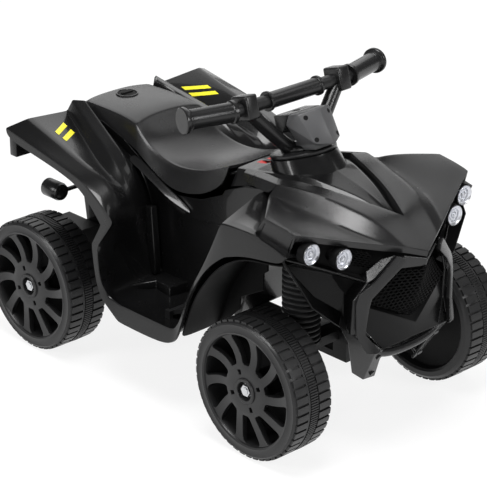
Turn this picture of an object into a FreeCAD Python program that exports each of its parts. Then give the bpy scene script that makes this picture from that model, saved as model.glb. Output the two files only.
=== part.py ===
import FreeCAD, Part

import math
import os

import Sketcher
from FreeCAD import Placement, Rotation, Vector

# Ride-on electric quad bike for a small child, about 70 cm long, in millimetres.
# X points forward, Y to the rider's left and Z up. The origin lies on the ground,
# midway between the rear tyres' backs and the nose, in the plane of symmetry.

SIZES = {
    # Stance and wheels
    "wheel_radius": 100.0,
    "wheel_width": 72.5,
    "track_outer": 415.0,
    "wheelbase": 465.0,
    "nose_overhang": 136.0,
    "outer_half_width": 27.5,
    "tyre_shoulder": 6.0,
    "tyre_wall": 4.0,
    "rim_opening_radius": 78.0,
    "rim_lip": 3.0,
    "spoke_disc": 10.0,
    "hub_radius": 24.0,
    "hub_rise": 6.5,
    "hub_tube_radius": 24.0,
    "window_inner_radius": 29.0,
    "window_outer_radius": 74.0,
    "window_inner_width": 8.0,
    "window_outer_width": 31.0,
    "tread_groove_depth": 3.0,
    "tread_groove_width": 5.0,
    "tread_groove_length": 22.0,
    "coupler_radius": 44.0,
    "coupler_thickness": 6.0,
    # Axles and fits
    "axle_radius": 5.0,
    "axle_end_inset": 2.0,
    "running_clearance": 0.08,
    "press_clearance": 0.03,
    "seat_gap": 0.3,
    "washer_radius": 10.0,
    "washer_thickness": 1.5,
    "nut_radius": 8.5,
    "nut_thickness": 6.0,
    "cut_overrun": 5.0,
    # Body mouldings
    "body_half_width": 200.0,
    "body_height": 350.0,
    "ground_clearance": 110.6,
    "body_wall": 3.5,
    "seat_wall": 4.0,
    "hull_half_width": 69.0,
    "side_root": 3.0,
    "pan_thickness": 5.0,
    "pan_rear_inset": 8.0,
    "pan_front_inset": 2.0,
    # Front suspension and steering
    "kingpin_offset": 23.0,
    "kingpin_radius": 4.0,
    "kingpin_head_radius": 7.0,
    "kingpin_head": 3.0,
    "ear_radius": 14.0,
    "ear_thickness": 8.0,
    "beam_depth": 26.0,
    "beam_thickness": 14.0,
    "fork_height": 52.0,
    "web_inner": 28.0,
    "web_outer": 15.0,
    "knuckle_radius": 13.0,
    "knuckle_boss_radius": 11.0,
    "stub_depth": 12.0,
    "arm_length": 30.0,
    "arm_half_width": 8.0,
    "arm_thickness": 8.0,
    "link_pin_radius": 3.0,
    "link_pin_head_radius": 5.0,
    "link_play": 3.2,
    "tie_rod_thickness": 3.0,
    "tie_rod_half_width": 9.0,
    "tie_rod_rise": 7.5,
    "tie_rod_bow_half": 44.0,
    "bellows_offset": 12.0,
    "bellows_radius": 27.0,
    "bellows_root_radius": 22.5,
    "bellows_bore_radius": 18.0,
    "bellows_seat_thickness": 4.0,
    "keel_half_width": 24.0,
    "keel_thickness": 10.0,
    "keel_drop": 16.0,
    "bush_half_width": 16.0,
    "bush_length": 16.0,
    "bush_reach": 44.0,
    "strut_inner": 22.0,
    "strut_outer": 40.0,
    "strut_height": 14.0,
    # Steering column and handlebar
    "column_radius": 6.0,
    "column_above": 66.0,
    "column_below": 21.26,
    "column_hole_radius": 9.5,
    "crank_radius": 26.0,
    "crank_half_width": 8.0,
    "crank_thickness": 8.0,
    "crank_pin_length": 14.0,
    "ring_radius": 47.0,
    "ring_lip_radius": 39.0,
    "ring_base": 6.0,
    "ring_rise": 5.0,
    "bar_height": 91.0,
    "bar_radius": 9.5,
    "bar_bend_y": 109.0,
    "grip_end_y": 184.0,
    "grip_sweep": 18.0,
    "grip_lift": 6.0,
    "bar_bend_radius": 60.0,
    "grip_radius": 14.5,
    "grip_flange_radius": 18.5,
    "grip_flange_width": 6.0,
    "grip_length": 74.0,
    "grip_collar_radius": 16.0,
    "sleeve_half": 50.0,
    "sleeve_radius": 11.5,
    "sleeve_flange_radius": 14.0,
    "sleeve_flange_width": 5.0,
    "clamp_y": 88.0,
    "clamp_width": 22.0,
    "clamp_depth": 34.0,
    "clamp_height": 42.0,
    "fork_arm_radius": 11.0,
    "fork_foot_y": 30.0,
    "fork_foot_z": 18.0,
    "fork_base_radius": 33.0,
    "fork_base_height": 14.0,
    "ring_running_gap": 0.6,
    "pod_top": 67.0,
    "pod_bottom": 27.0,
    "pod_split": 16.0,
    "pod_top_reach": 31.0,
    "pod_bottom_reach": 53.0,
    "pod_top_half": 32.0,
    "pod_bottom_half": 21.0,
    "pod_back_half": 40.0,
    "pod_rear_reach": 13.0,
    "pod_rear_half": 30.0,
    "pod_rear_height": 24.0,
    "pod_screw_radius": 3.2,
    "pod_screw_depth": 9.0,
    "pod_screw_recess": 2.0,
    "button_radius": 6.0,
    "button_y": 15.0,
    "button_proud": 3.0,
    "button_depth": 7.0,
    "button_clearance": 0.35,
    # Dashboard switches
    "rocker_length": 20.0,
    "rocker_width": 11.0,
    "rocker_depth": 8.0,
    "rocker_crown": 2.5,
    "rocker_clearance": 1.4,
    "rocker_pin_radius": 1.5,
    "rocker_y": 9.0,
    "switch_wall": 3.0,
    "switch_height": 10.0,
    # Seat hinge and lock
    "hinge_barrel_radius": 5.0,
    "hinge_pin_radius": 2.5,
    "hinge_half": 38.0,
    "hinge_ear_width": 6.0,
    "hinge_ear_radius": 4.5,
    "hinge_ear_root": 3.5,
    "lock_radius": 11.0,
    "lock_clearance": 0.4,
    "lock_flange_radius": 14.0,
    "lock_flange": 3.0,
    "lock_body": 14.0,
    "lock_proud": 1.5,
    "lock_slot_width": 3.5,
    "lock_slot_depth": 3.0,
    "lock_stem_radius": 5.0,
    "lock_stem": 19.0,
    "lock_tab_reach": 24.0,
    "lock_tab_thickness": 4.0,
    # Lamps and nose
    "lamp_radius": 14.0,
    "lamp_length": 28.0,
    "lamp_bowl": 9.0,
    "lamp_neck_radius": 8.0,
    "lamp_wall": 2.0,
    "lamp_cup_depth": 7.0,
    "lamp_hole_clearance": 0.3,
    "lens_thickness": 3.0,
    "lens_dome": 4.0,
    "pod_plate": 4.0,
    "pod_plate_inner_rise": 36.0,
    "pod_plate_outer_rise": 26.0,
    "grille_wall": 3.0,
    "bumper_bar_radius": 9.0,
    "bumper_bar_half": 56.0,
    "nose_screw_radius": 4.0,
    "nose_screw_length": 10.0,
    # Drive, battery and pedal
    "hanger_inner": 50.0,
    "hanger_outer": 62.0,
    "hanger_half_length": 20.0,
    "hanger_drop": 14.0,
    "spacer_radius": 9.0,
    "gearbox_inner": 88.0,
    "gearbox_rear": 46.0,
    "gearbox_front": 24.0,
    "gearbox_drop": 22.0,
    "gearbox_rise": 72.0,
    "motor_radius": 18.0,
    "motor_length": 58.0,
    "motor_back": 12.0,
    "motor_rise": 48.0,
    "motor_clearance": 1.0,
    "battery_length": 100.0,
    "battery_width": 70.0,
    "battery_height": 78.0,
    "exhaust_radius": 14.0,
    "exhaust_length": 36.0,
    "exhaust_bore_radius": 10.5,
    "exhaust_bore_depth": 16.0,
    "exhaust_stalk_radius": 3.5,
    "pedal_length": 46.0,
    "pedal_width": 42.0,
    "pedal_thickness": 6.0,
    "pedal_tilt": 22.0,
    "pedal_barrel_radius": 5.0,
    "pedal_pin_radius": 2.5,
    "pedal_bracket_width": 6.0,
    "pedal_lift": 8.0,
    "pedal_switch_length": 14.0,
    "pedal_switch_width": 20.0,
    "pedal_switch_height": 7.0,
}
SPOKE_COUNT = 10
TREAD_COUNT = 24
BELLOWS_RIB_COUNT = 18

# Surface points of the styled mouldings as shares of the half length, the body's
# half width and the body's height. Each row runs from the middle outwards.
SIDE_SHARES = (
    ((-0.833, 0.330, 0.931), (-0.882, 0.440, 0.991), (-0.850, 0.550, 0.963),
     (-0.825, 0.840, 0.980), (-0.864, 0.980, 0.946), (-0.864, 0.980, 0.886)),
    ((-0.736, 0.330, 0.931), (-0.748, 0.440, 0.983), (-0.730, 0.550, 0.937),
     (-0.685, 0.840, 0.957), (-0.685, 0.980, 0.914), (-0.685, 0.980, 0.849)),
    ((-0.585, 0.330, 0.869), (-0.585, 0.440, 0.909), (-0.585, 0.550, 0.880),
     (-0.528, 0.840, 0.931), (-0.542, 0.980, 0.889), (-0.542, 0.980, 0.823)),
    ((-0.471, 0.330, 0.811), (-0.479, 0.440, 0.846), (-0.471, 0.550, 0.834),
     (-0.394, 0.840, 0.906), (-0.405, 0.980, 0.863), (-0.434, 0.980, 0.800)),
    ((-0.399, 0.330, 0.743), (-0.394, 0.440, 0.771), (-0.377, 0.550, 0.783),
     (-0.302, 0.840, 0.877), (-0.320, 0.980, 0.846), (-0.365, 0.980, 0.789)),
    ((-0.359, 0.330, 0.651), (-0.348, 0.440, 0.663), (-0.320, 0.550, 0.686),
     (-0.194, 0.840, 0.749), (-0.183, 0.980, 0.731), (-0.262, 0.980, 0.691)),
    ((-0.354, 0.330, 0.543), (-0.342, 0.440, 0.549), (-0.325, 0.550, 0.560),
     (-0.294, 0.840, 0.591), (-0.291, 0.980, 0.591), (-0.325, 0.980, 0.591)),
    ((-0.325, 0.330, 0.429), (-0.322, 0.440, 0.429), (-0.320, 0.550, 0.429),
     (-0.288, 0.840, 0.429), (-0.282, 0.980, 0.429), (-0.308, 0.980, 0.429)),
    ((-0.302, 0.330, 0.354), (-0.300, 0.440, 0.351), (-0.294, 0.550, 0.349),
     (-0.262, 0.880, 0.360), (-0.245, 0.940, 0.383), (-0.277, 0.960, 0.360)),
    ((-0.251, 0.330, 0.326), (-0.248, 0.440, 0.326), (-0.243, 0.550, 0.326),
     (-0.200, 0.880, 0.326), (-0.177, 0.940, 0.366), (-0.177, 0.960, 0.291)),
    ((0.120, 0.330, 0.326), (0.120, 0.440, 0.326), (0.120, 0.550, 0.326),
     (0.120, 0.880, 0.326), (0.131, 0.940, 0.366), (0.137, 0.960, 0.286)),
    ((0.171, 0.330, 0.349), (0.171, 0.440, 0.349), (0.168, 0.550, 0.349),
     (0.154, 0.880, 0.360), (0.143, 0.940, 0.394), (0.188, 0.960, 0.343)),
    ((0.223, 0.330, 0.514), (0.223, 0.440, 0.514), (0.217, 0.550, 0.514),
     (0.177, 0.840, 0.531), (0.160, 0.910, 0.543), (0.228, 0.925, 0.517)),
    ((0.265, 0.330, 0.586), (0.262, 0.440, 0.589), (0.257, 0.550, 0.594),
     (0.217, 0.840, 0.617), (0.200, 0.910, 0.629), (0.265, 0.925, 0.580)),
    ((0.337, 0.330, 0.686), (0.331, 0.440, 0.694), (0.322, 0.550, 0.709),
     (0.280, 0.840, 0.731), (0.262, 0.910, 0.743), (0.345, 0.925, 0.674)),
    ((0.399, 0.330, 0.766), (0.394, 0.440, 0.777), (0.385, 0.550, 0.794),
     (0.331, 0.840, 0.823), (0.314, 0.910, 0.834), (0.408, 0.925, 0.754)),
    ((0.536, 0.330, 0.834), (0.536, 0.440, 0.834), (0.536, 0.550, 0.834),
     (0.519, 0.840, 0.894), (0.525, 0.910, 0.897), (0.559, 0.925, 0.820)),
    ((0.700, 0.330, 0.834), (0.700, 0.440, 0.834), (0.700, 0.550, 0.834),
     (0.700, 0.840, 0.869), (0.748, 0.910, 0.864), (0.742, 0.925, 0.849)),
)
ARCH_DECK_SHARE = 0.834
HULL_SHARES = (
    (-0.820, 0.936), (-0.670, 0.940), (-0.542, 0.909), (-0.428, 0.846), (-0.337, 0.789), (-0.200, 0.749),
    (-0.057, 0.771), (0.068, 0.829), (0.086, 0.847), (0.200, 0.899), (0.300, 0.921), (0.300, 0.714),
    (0.177, 0.429), (0.143, 0.316), (-0.776, 0.316), (-0.813, 0.571),
)
HULL_BOTTOM_SHARE = 0.316
HULL_FRONT_SHARE = 0.143
HULL_REAR_SHARE = -0.776
HATCH_SHARES = ((-0.80, -0.20), (0.70, 1.0))
FLOOR_SHARE = 0.326
HOOD_SHARES = (
    ((0.394, 0.360, 1.000), (0.428, 0.420, 1.006), (0.402, 0.485, 0.957),
     (0.471, 0.600, 0.980), (0.613, 0.850, 0.974), (0.568, 0.860, 0.903)),
    ((0.516, 0.260, 0.997), (0.519, 0.400, 0.997), (0.519, 0.485, 0.946),
     (0.576, 0.640, 0.966), (0.656, 0.850, 0.969), (0.611, 0.860, 0.894)),
    ((0.656, 0.180, 0.974), (0.645, 0.350, 0.977), (0.639, 0.460, 0.929),
     (0.670, 0.640, 0.949), (0.699, 0.848, 0.963), (0.662, 0.858, 0.886)),
    ((0.770, 0.085, 0.951), (0.748, 0.300, 0.956), (0.742, 0.420, 0.909),
     (0.748, 0.625, 0.929), (0.736, 0.843, 0.957), (0.702, 0.855, 0.877)),
    ((0.867, 0.000, 0.923), (0.859, 0.225, 0.919), (0.833, 0.360, 0.889),
     (0.810, 0.560, 0.909), (0.756, 0.840, 0.954), (0.725, 0.853, 0.871)),
    ((1.000, 0.000, 0.814), (0.961, 0.150, 0.840), (0.922, 0.285, 0.863),
     (0.864, 0.490, 0.896), (0.773, 0.835, 0.950), (0.745, 0.850, 0.867)),
)
CONSOLE_SHARES = (
    ((0.086, 0.000, 0.931), (0.086, 0.220, 0.926), (0.086, 0.290, 0.860)),
    ((0.200, 0.000, 0.944), (0.200, 0.230, 0.939), (0.200, 0.330, 0.911)),
    ((0.300, 0.000, 0.973), (0.300, 0.250, 0.965), (0.300, 0.330, 0.934)),
    ((0.399, 0.000, 1.003), (0.399, 0.250, 0.991), (0.399, 0.310, 0.960)),
    ((0.474, 0.000, 1.021), (0.474, 0.210, 1.000), (0.474, 0.260, 0.974)),
    ((0.536, 0.000, 0.994), (0.531, 0.180, 0.989), (0.525, 0.225, 0.971)),
    ((0.656, 0.000, 0.971), (0.656, 0.110, 0.969), (0.656, 0.150, 0.957)),
    ((0.776, 0.000, 0.926), (0.776, 0.030, 0.924), (0.776, 0.045, 0.917)),
)
SEAT_SHARES = (
    ((-0.867, 0.000, 0.964), (-0.867, 0.200, 0.964), (-0.850, 0.320, 0.968), (-0.833, 0.375, 0.970)),
    ((-0.845, 0.000, 0.991), (-0.842, 0.200, 0.990), (-0.822, 0.320, 0.983), (-0.816, 0.375, 0.972)),
    ((-0.670, 0.000, 1.000), (-0.665, 0.200, 0.997), (-0.650, 0.320, 0.986), (-0.650, 0.375, 0.960)),
    ((-0.508, 0.000, 0.989), (-0.496, 0.200, 0.986), (-0.468, 0.320, 0.971), (-0.456, 0.375, 0.880)),
    ((-0.417, 0.000, 0.891), (-0.405, 0.200, 0.891), (-0.377, 0.320, 0.900), (-0.354, 0.375, 0.826)),
    ((-0.205, 0.000, 0.843), (-0.205, 0.200, 0.849), (-0.200, 0.320, 0.860), (-0.203, 0.375, 0.763)),
    ((-0.051, 0.000, 0.869), (-0.049, 0.200, 0.877), (-0.046, 0.315, 0.889), (-0.057, 0.370, 0.783)),
    ((0.057, 0.000, 0.920), (0.057, 0.190, 0.926), (0.057, 0.260, 0.931), (0.057, 0.310, 0.851)),
)
LOCK_TOP_SHARE = 0.996
GRILLE_CROWN_SHARES = ((0.920, 0.0, 0.771), (0.930, 0.0, 0.657), (0.920, 0.0, 0.531))
FASCIA_SHARES = {
    "brow": (0.961, 0.155, 0.809),
    "ridge": (0.930, 0.250, 0.703),
    "tusk": (0.873, 0.410, 0.489),
    "grille_top": (0.913, 0.150, 0.760),
    "grille_mid": (0.916, 0.250, 0.651),
    "grille_low": (0.907, 0.330, 0.526),
    "cheek_in": (0.884, 0.350, 0.717),
    "cheek_top": (0.802, 0.605, 0.780),
    "cheek_tip": (0.719, 0.860, 0.843),
    "shelf_in": (0.839, 0.310, 0.729),
    "shelf_mid": (0.759, 0.565, 0.791),
    "shelf_tip": (0.685, 0.820, 0.851),
    "cheek_out": (0.773, 0.830, 0.766),
    "cheek_low": (0.787, 0.700, 0.634),
    "jaw": (0.802, 0.480, 0.526),
    "sill_mid": (0.904, 0.0, 0.509),
    "lip_mid": (0.922, 0.0, 0.486),
    "lip_end": (0.907, 0.260, 0.489),
    "chin_mid": (0.913, 0.0, 0.440),
    "chin_in": (0.933, 0.250, 0.429),
    "knee": (0.939, 0.360, 0.434),
    "heel": (0.827, 0.440, 0.457),
    "toe_in": (0.845, 0.185, 0.266),
    "toe_out": (0.830, 0.260, 0.257),
    "toe_back": (0.776, 0.300, 0.280),
}
FASCIA_FACES = (
    ("grille_top", "grille_mid", "ridge", "brow"),
    ("grille_mid", "grille_low", "tusk", "ridge"),
    ("brow", "ridge", "cheek_in"),
    ("ridge", "tusk", "jaw", "cheek_in"),
    ("cheek_in", "jaw", "cheek_low", "cheek_top"),
    ("cheek_top", "cheek_low", "cheek_out", "cheek_tip"),
    ("shelf_in", "cheek_in", "cheek_top", "shelf_mid"),
    ("shelf_mid", "cheek_top", "cheek_tip", "shelf_tip"),
    ("sill_mid", "lip_mid", "lip_end", "grille_low"),
    ("grille_low", "lip_end", "tusk"),
    ("lip_mid", "chin_mid", "chin_in", "lip_end"),
    ("lip_end", "chin_in", "knee", "tusk"),
    ("chin_in", "toe_in", "toe_out", "knee"),
    ("knee", "toe_out", "toe_back", "heel"),
    ("tusk", "knee", "heel", "jaw"),
)
POD_PLATE_SHARES = (0.06, 0.92)
COLUMN_FOOT_SHARES = (0.33666, 1.00571)
HINGE_SHARES = (0.04565, 0.88857)
HINGE_SEAT_SHARE = 0.83
LOCK_SHARE = -0.73894
ROCKER_SHARES = (0.13695, 0.93714)
LAMP_SHARES = ((0.84451, 0.54250, 0.82857), (0.79030, 0.74500, 0.86571))
BUMPER_BAR_SHARE = 0.37571
BATTERY_REAR_SHARE = -0.58488
EXHAUST_SHARES = (-0.77033, 0.60000, 0.62571)
PEDAL_SHARES = (-0.00571, -0.65000)
LEG_SCREW_SHARES = (0.24, 0.82)

doc = FreeCAD.newDocument("kids_quad_bike")
sheet = doc.addObject("Spreadsheet::Sheet", "Sizes")
for row, (alias, number) in enumerate(SIZES.items(), start=1):
    sheet.set("A%d" % row, alias.replace("_", " "))
    sheet.set("B%d" % row, str(number))
    sheet.setAlias("B%d" % row, alias)
doc.recompute()


class Size:
    """A length with the sheet expression that it comes from."""

    def __init__(self, value, text):
        self.value = value
        self.text = text

    def __float__(self):
        return float(self.value)

    def joined(self, sign, other, value):
        text = other.text if isinstance(other, Size) else repr(float(other))
        return Size(value, "(%s %s %s)" % (self.text, sign, text))

    def __add__(self, other):
        return self.joined("+", other, float(self) + float(other))

    def __sub__(self, other):
        return self.joined("-", other, float(self) - float(other))

    def __mul__(self, other):
        return self.joined("*", other, float(self) * float(other))

    def __truediv__(self, other):
        return self.joined("/", other, float(self) / float(other))

    def __neg__(self):
        return Size(-float(self), "(0 - %s)" % self.text)


class SheetSizes:
    """Gives each named cell of the sheet as a Size."""

    def __getattr__(self, alias):
        return Size(float(sheet.get(alias)), "Sizes." + alias)


s = SheetSizes()
ZERO = Size(0.0, "0")
X_AXIS = Vector(1, 0, 0)
Y_AXIS = Vector(0, 1, 0)
Z_AXIS = Vector(0, 0, 1)
ALONG_X = Rotation(Y_AXIS, 90)
ALONG_Y = Rotation(X_AXIS, -90)
ALONG_MINUS_Y = Rotation(X_AXIS, 90)
SIDES = {"left": 1, "right": -1}

half_length = (s.wheel_radius + s.wheelbase + s.nose_overhang) / 2
rear_axle_x = s.wheel_radius - half_length
front_axle_x = rear_axle_x + s.wheelbase
axle_z = s.wheel_radius
wheel_outer_y = s.track_outer / 2
wheel_inner_y = wheel_outer_y - s.wheel_width
seam_y = wheel_outer_y - s.outer_half_width
kingpin_y = wheel_inner_y - s.kingpin_offset
web_y = (kingpin_y - s.web_inner, kingpin_y - s.web_outer)
bellows_y = kingpin_y - s.bellows_offset
nodes = {}


def keep(name, obj):
    """Makes an object one of the part's own pieces."""
    obj.Label = name
    nodes[name] = obj
    return obj


def bind(obj, **sizes):
    for prop, size in sizes.items():
        obj.setExpression(prop, size.text)


def put(obj, x=ZERO, y=ZERO, z=ZERO, turn=None):
    """Places an object, its position bound to the sheet."""
    obj.Placement = Placement(Vector(float(x), float(y), float(z)), turn or Rotation())
    for axis, size in zip("xyz", (x, y, z)):
        obj.setExpression("Placement.Base." + axis, size.text)
    return obj


def box(name, xs, ys, zs):
    """A block between pairs of positions."""
    obj = doc.addObject("Part::Box", name)
    bind(obj, Length=xs[1] - xs[0], Width=ys[1] - ys[0], Height=zs[1] - zs[0])
    return put(obj, xs[0], ys[0], zs[0])


def cylinder(name, radius, length, x=ZERO, y=ZERO, z=ZERO, turn=None):
    obj = doc.addObject("Part::Cylinder", name)
    bind(obj, Radius=radius, Height=length)
    return put(obj, x, y, z, turn)


def fuse(name, *objects):
    obj = doc.addObject("Part::MultiFuse", name)
    obj.Shapes = list(objects)
    obj.Refine = True
    return obj


def gather(name, *objects):
    obj = doc.addObject("Part::Compound", name)
    obj.Links = list(objects)
    return obj


def cut(name, base, *tools):
    obj = doc.addObject("Part::Cut", name)
    obj.Base = base
    obj.Tool = tools[0] if len(tools) == 1 else gather(name + "_tools", *tools)
    return obj


def mirrored(name, source):
    """A copy on the other side of the plane of symmetry."""
    obj = doc.addObject("Part::Mirroring", name)
    obj.Source = source
    obj.Normal = Y_AXIS
    return obj


def solid(name, shape):
    obj = doc.addObject("Part::Feature", name)
    obj.Shape = shape
    return obj


def origin_plane(body, role):
    return next(item for item in body.Origin.OriginFeatures if item.Role == role)


def outline(body, name, role, points):
    """A closed sketch whose corners are bound to the sheet."""
    sketch = body.newObject("Sketcher::SketchObject", name)
    sketch.AttachmentSupport = [(origin_plane(body, role), "")]
    sketch.MapMode = "FlatFace"
    corners = [Vector(float(u), float(v), 0) for u, v in points]
    for start, end in zip(corners, corners[1:] + corners[:1]):
        sketch.addGeometry(Part.LineSegment(start, end))
    for index, (u, v) in enumerate(points):
        following = (index + 1) % len(points)
        sketch.addConstraint(Sketcher.Constraint("Coincident", index, 2, following, 1))
        for kind, size in (("DistanceX", u), ("DistanceY", v)):
            place = sketch.addConstraint(Sketcher.Constraint(kind, -1, 1, index, 1, float(size)))
            sketch.setExpression("Constraints[%d]" % place, size.text)
    return sketch


def revolved(name, points):
    """A body turned about its own Z axis from an outline of radius and height."""
    body = doc.addObject("PartDesign::Body", name)
    sketch = outline(body, name + "_section", "XZ_Plane", points)
    turn = body.newObject("PartDesign::Revolution", name + "_turn")
    turn.Profile = sketch
    turn.ReferenceAxis = (sketch, ["V_Axis"])
    turn.Angle = 360
    return body


def padded(name, role, points, length, symmetric=True):
    """A body pushed out of an origin plane."""
    body = doc.addObject("PartDesign::Body", name)
    pad = body.newObject("PartDesign::Pad", name + "_pad")
    pad.Profile = outline(body, name + "_outline", role, points)
    pad.Midplane = symmetric
    bind(pad, Length=length)
    return body


def pocket_ring(body, name, points, depth, count, start=ZERO):
    """Pockets of one outline, cut upwards from the given height, all round the Z axis."""
    sketch = outline(body, name + "_outline", "XY_Plane", points)
    sketch.setExpression("AttachmentOffset.Base.z", start.text)
    pocket = body.newObject("PartDesign::Pocket", name)
    pocket.Profile = sketch
    pocket.Reversed = True
    bind(pocket, Length=depth)
    ring = body.newObject("PartDesign::PolarPattern", name + "_ring")
    ring.Originals = [pocket]
    ring.Axis = (sketch, ["N_Axis"])
    ring.Angle = 360
    ring.Occurrences = count
    body.Tip = ring


def height_at(share):
    """The height of a share of the body's height, which grows upwards from the hull's bottom."""
    rise = s.body_height - s.ground_clearance
    return s.ground_clearance + rise * ((share - HULL_BOTTOM_SHARE) / (1 - HULL_BOTTOM_SHARE))


def spot_sizes(share):
    """The place of a share of the half length, the half width and the height, bound to the sheet."""
    along, across, up = share
    return half_length * along, s.body_half_width * across, height_at(up)


def spot(share):
    return Vector(*(float(size) for size in spot_sizes(share)))


def grid_faces(rows, columns):
    faces = []
    for row in range(rows - 1):
        for column in range(columns - 1):
            near = row * columns + column
            far = near + columns
            faces.append((near, far, far + 1, near + 1))
    return faces


def both_halves(points, faces):
    """Adds the mirror image of a half surface, joined along the plane of symmetry."""
    points = list(points)
    twin = {}
    for index, point in enumerate(list(points)):
        if point.y == 0:
            twin[index] = index
        else:
            twin[index] = len(points)
            points.append(Vector(point.x, -point.y, point.z))
    return points, list(faces) + [tuple(twin[i] for i in reversed(face)) for face in faces]


def triangles(faces):
    split = []
    for face in faces:
        split.extend((face[0], face[i], face[i + 1]) for i in range(1, len(face) - 1))
    return split


def closed_solid(corner_faces):
    """A solid inside triangles given by their corners."""
    skin = [Part.Face(Part.makePolygon(list(corners) + [corners[0]])) for corners in corner_faces]
    result = Part.makeSolid(Part.makeShell(skin))
    if result.Volume < 0:
        result.reverse()
    return result


def thick_shell(points, faces, wall):
    """A moulded wall that lies inside a surface of flat facets."""
    split = triangles(faces)
    normals = [Vector() for _ in points]
    for a, b, c in split:
        area = (points[b] - points[a]).cross(points[c] - points[a])
        for corner in (a, b, c):
            normals[corner] = normals[corner] + area
    inner = [point - normal.normalize() * float(wall) for point, normal in zip(points, normals)]
    corner_faces = []
    edges = set()
    for a, b, c in split:
        corner_faces.append((points[a], points[b], points[c]))
        corner_faces.append((inner[c], inner[b], inner[a]))
        edges.update(((a, b), (b, c), (c, a)))
    for a, b in edges:
        if (b, a) not in edges:
            corner_faces.append((points[b], points[a], inner[a]))
            corner_faces.append((points[b], inner[a], inner[b]))
    return closed_solid(corner_faces)


def net_shell(shares, wall):
    """The moulded wall of a symmetrical net of shares."""
    points = [spot(share) for row in shares for share in row]
    return thick_shell(*both_halves(points, grid_faces(len(shares), len(shares[0]))), wall)


def slab(front, back):
    """A block between two facing four-sided ends, the front one seen anticlockwise."""
    corners = list(front) + list(back)
    faces = [(0, 1, 2, 3), (7, 6, 5, 4)]
    faces += [(i, i + 4, (i + 1) % 4 + 4, (i + 1) % 4) for i in range(4)]
    return closed_solid([[corners[i] for i in face] for face in triangles(faces)])


def slide_to(shape, target, direction, gap):
    """Moves a shape along a direction until only the gap is left to the target."""
    moved = shape.copy()
    for _ in range(200):
        left = moved.distToShape(target)[0] - float(gap)
        if left < 0.1 * float(gap):
            break
        moved.translate(direction * left)
    return moved


hinge_x, hinge_z = half_length * HINGE_SHARES[0], height_at(HINGE_SHARES[1])
lock_x = half_length * LOCK_SHARE
rocker_x, rocker_z = half_length * ROCKER_SHARES[0], height_at(ROCKER_SHARES[1])

# Main body: both sides' fenders, footwells and front arches with the middle hull
side_points = []
for row in SIDE_SHARES:
    side_points += [spot(share) for share in row]
    side_points[-len(row)].y = float(s.hull_half_width - s.side_root)
side_left = solid("side_left", thick_shell(side_points, grid_faces(len(SIDE_SHARES), 6), s.body_wall))
side_right = mirrored("side_right", side_left)
hull_points = [(half_length * x, height_at(z)) for x, z in HULL_SHARES]
hull_outer = padded("hull_outer", "XZ_Plane", hull_points, s.hull_half_width * 2)
hull_bottom = s.ground_clearance


def hull_core_shape():
    """The hull's hollow: its outline drawn in by the wall, open below."""
    corners = [Vector(float(x), 0, float(z)) for x, z in hull_points]
    face = Part.Face(Part.makePolygon(corners + corners[:1]))
    core = face.makeOffset2D(-float(s.body_wall))
    core.translate(Vector(0, float(s.body_wall - s.hull_half_width), 0))
    return core.extrude(Vector(0, float((s.hull_half_width - s.body_wall) * 2), 0))


hull_core = solid("hull_core", hull_core_shape())
hull_floor_hole = box(
    "hull_floor_hole",
    (half_length * HULL_REAR_SHARE + s.body_wall, half_length * HULL_FRONT_SHARE - s.body_wall),
    (s.body_wall - s.hull_half_width, s.hull_half_width - s.body_wall),
    (hull_bottom - s.cut_overrun, hull_bottom + s.body_wall + s.cut_overrun),
)
hatch_x, hatch_z = HATCH_SHARES
hatch_half = s.hull_half_width - s.body_wall * 3
hatch = box(
    "hatch",
    (half_length * hatch_x[0], half_length * hatch_x[1]),
    (-hatch_half, hatch_half),
    (height_at(hatch_z[0]), height_at(hatch_z[1])),
)
motor_x = rear_axle_x - s.motor_back
motor_z = axle_z + s.motor_rise
motor_hole = cylinder(
    "motor_hole", s.motor_radius + s.motor_clearance, s.hull_half_width + s.cut_overrun,
    motor_x, ZERO, motor_z, ALONG_MINUS_Y,
)
hull = cut("hull", hull_outer, hull_core, hull_floor_hole, hatch, motor_hole)
ear_x = (hinge_x - s.hinge_ear_radius, hinge_x + s.hinge_ear_radius)
ears = []
for side, sign in SIDES.items():
    inner = (s.hinge_half + s.seat_gap) * sign
    outer = (s.hinge_half + s.seat_gap + s.hinge_ear_width) * sign
    ears.append(box(
        "hinge_ear_" + side, ear_x, (inner, outer) if sign > 0 else (outer, inner),
        (height_at(HINGE_SEAT_SHARE) - s.hinge_ear_root, hinge_z),
    ))
    ears.append(cylinder(
        "hinge_ear_top_" + side, s.hinge_ear_radius, s.hinge_ear_width, hinge_x, inner, hinge_z,
        ALONG_Y if sign > 0 else ALONG_MINUS_Y,
    ))
pin_hole = cylinder(
    "hinge_pin_hole", s.hinge_pin_radius + s.press_clearance, (s.hinge_half + s.hinge_ear_width * 2) * 2,
    hinge_x, -(s.hinge_half + s.hinge_ear_width * 2), hinge_z, ALONG_Y,
)
keep("main_body", cut("main_body", fuse("main_body_blank", side_left, side_right, hull, *ears), pin_hole))

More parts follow.
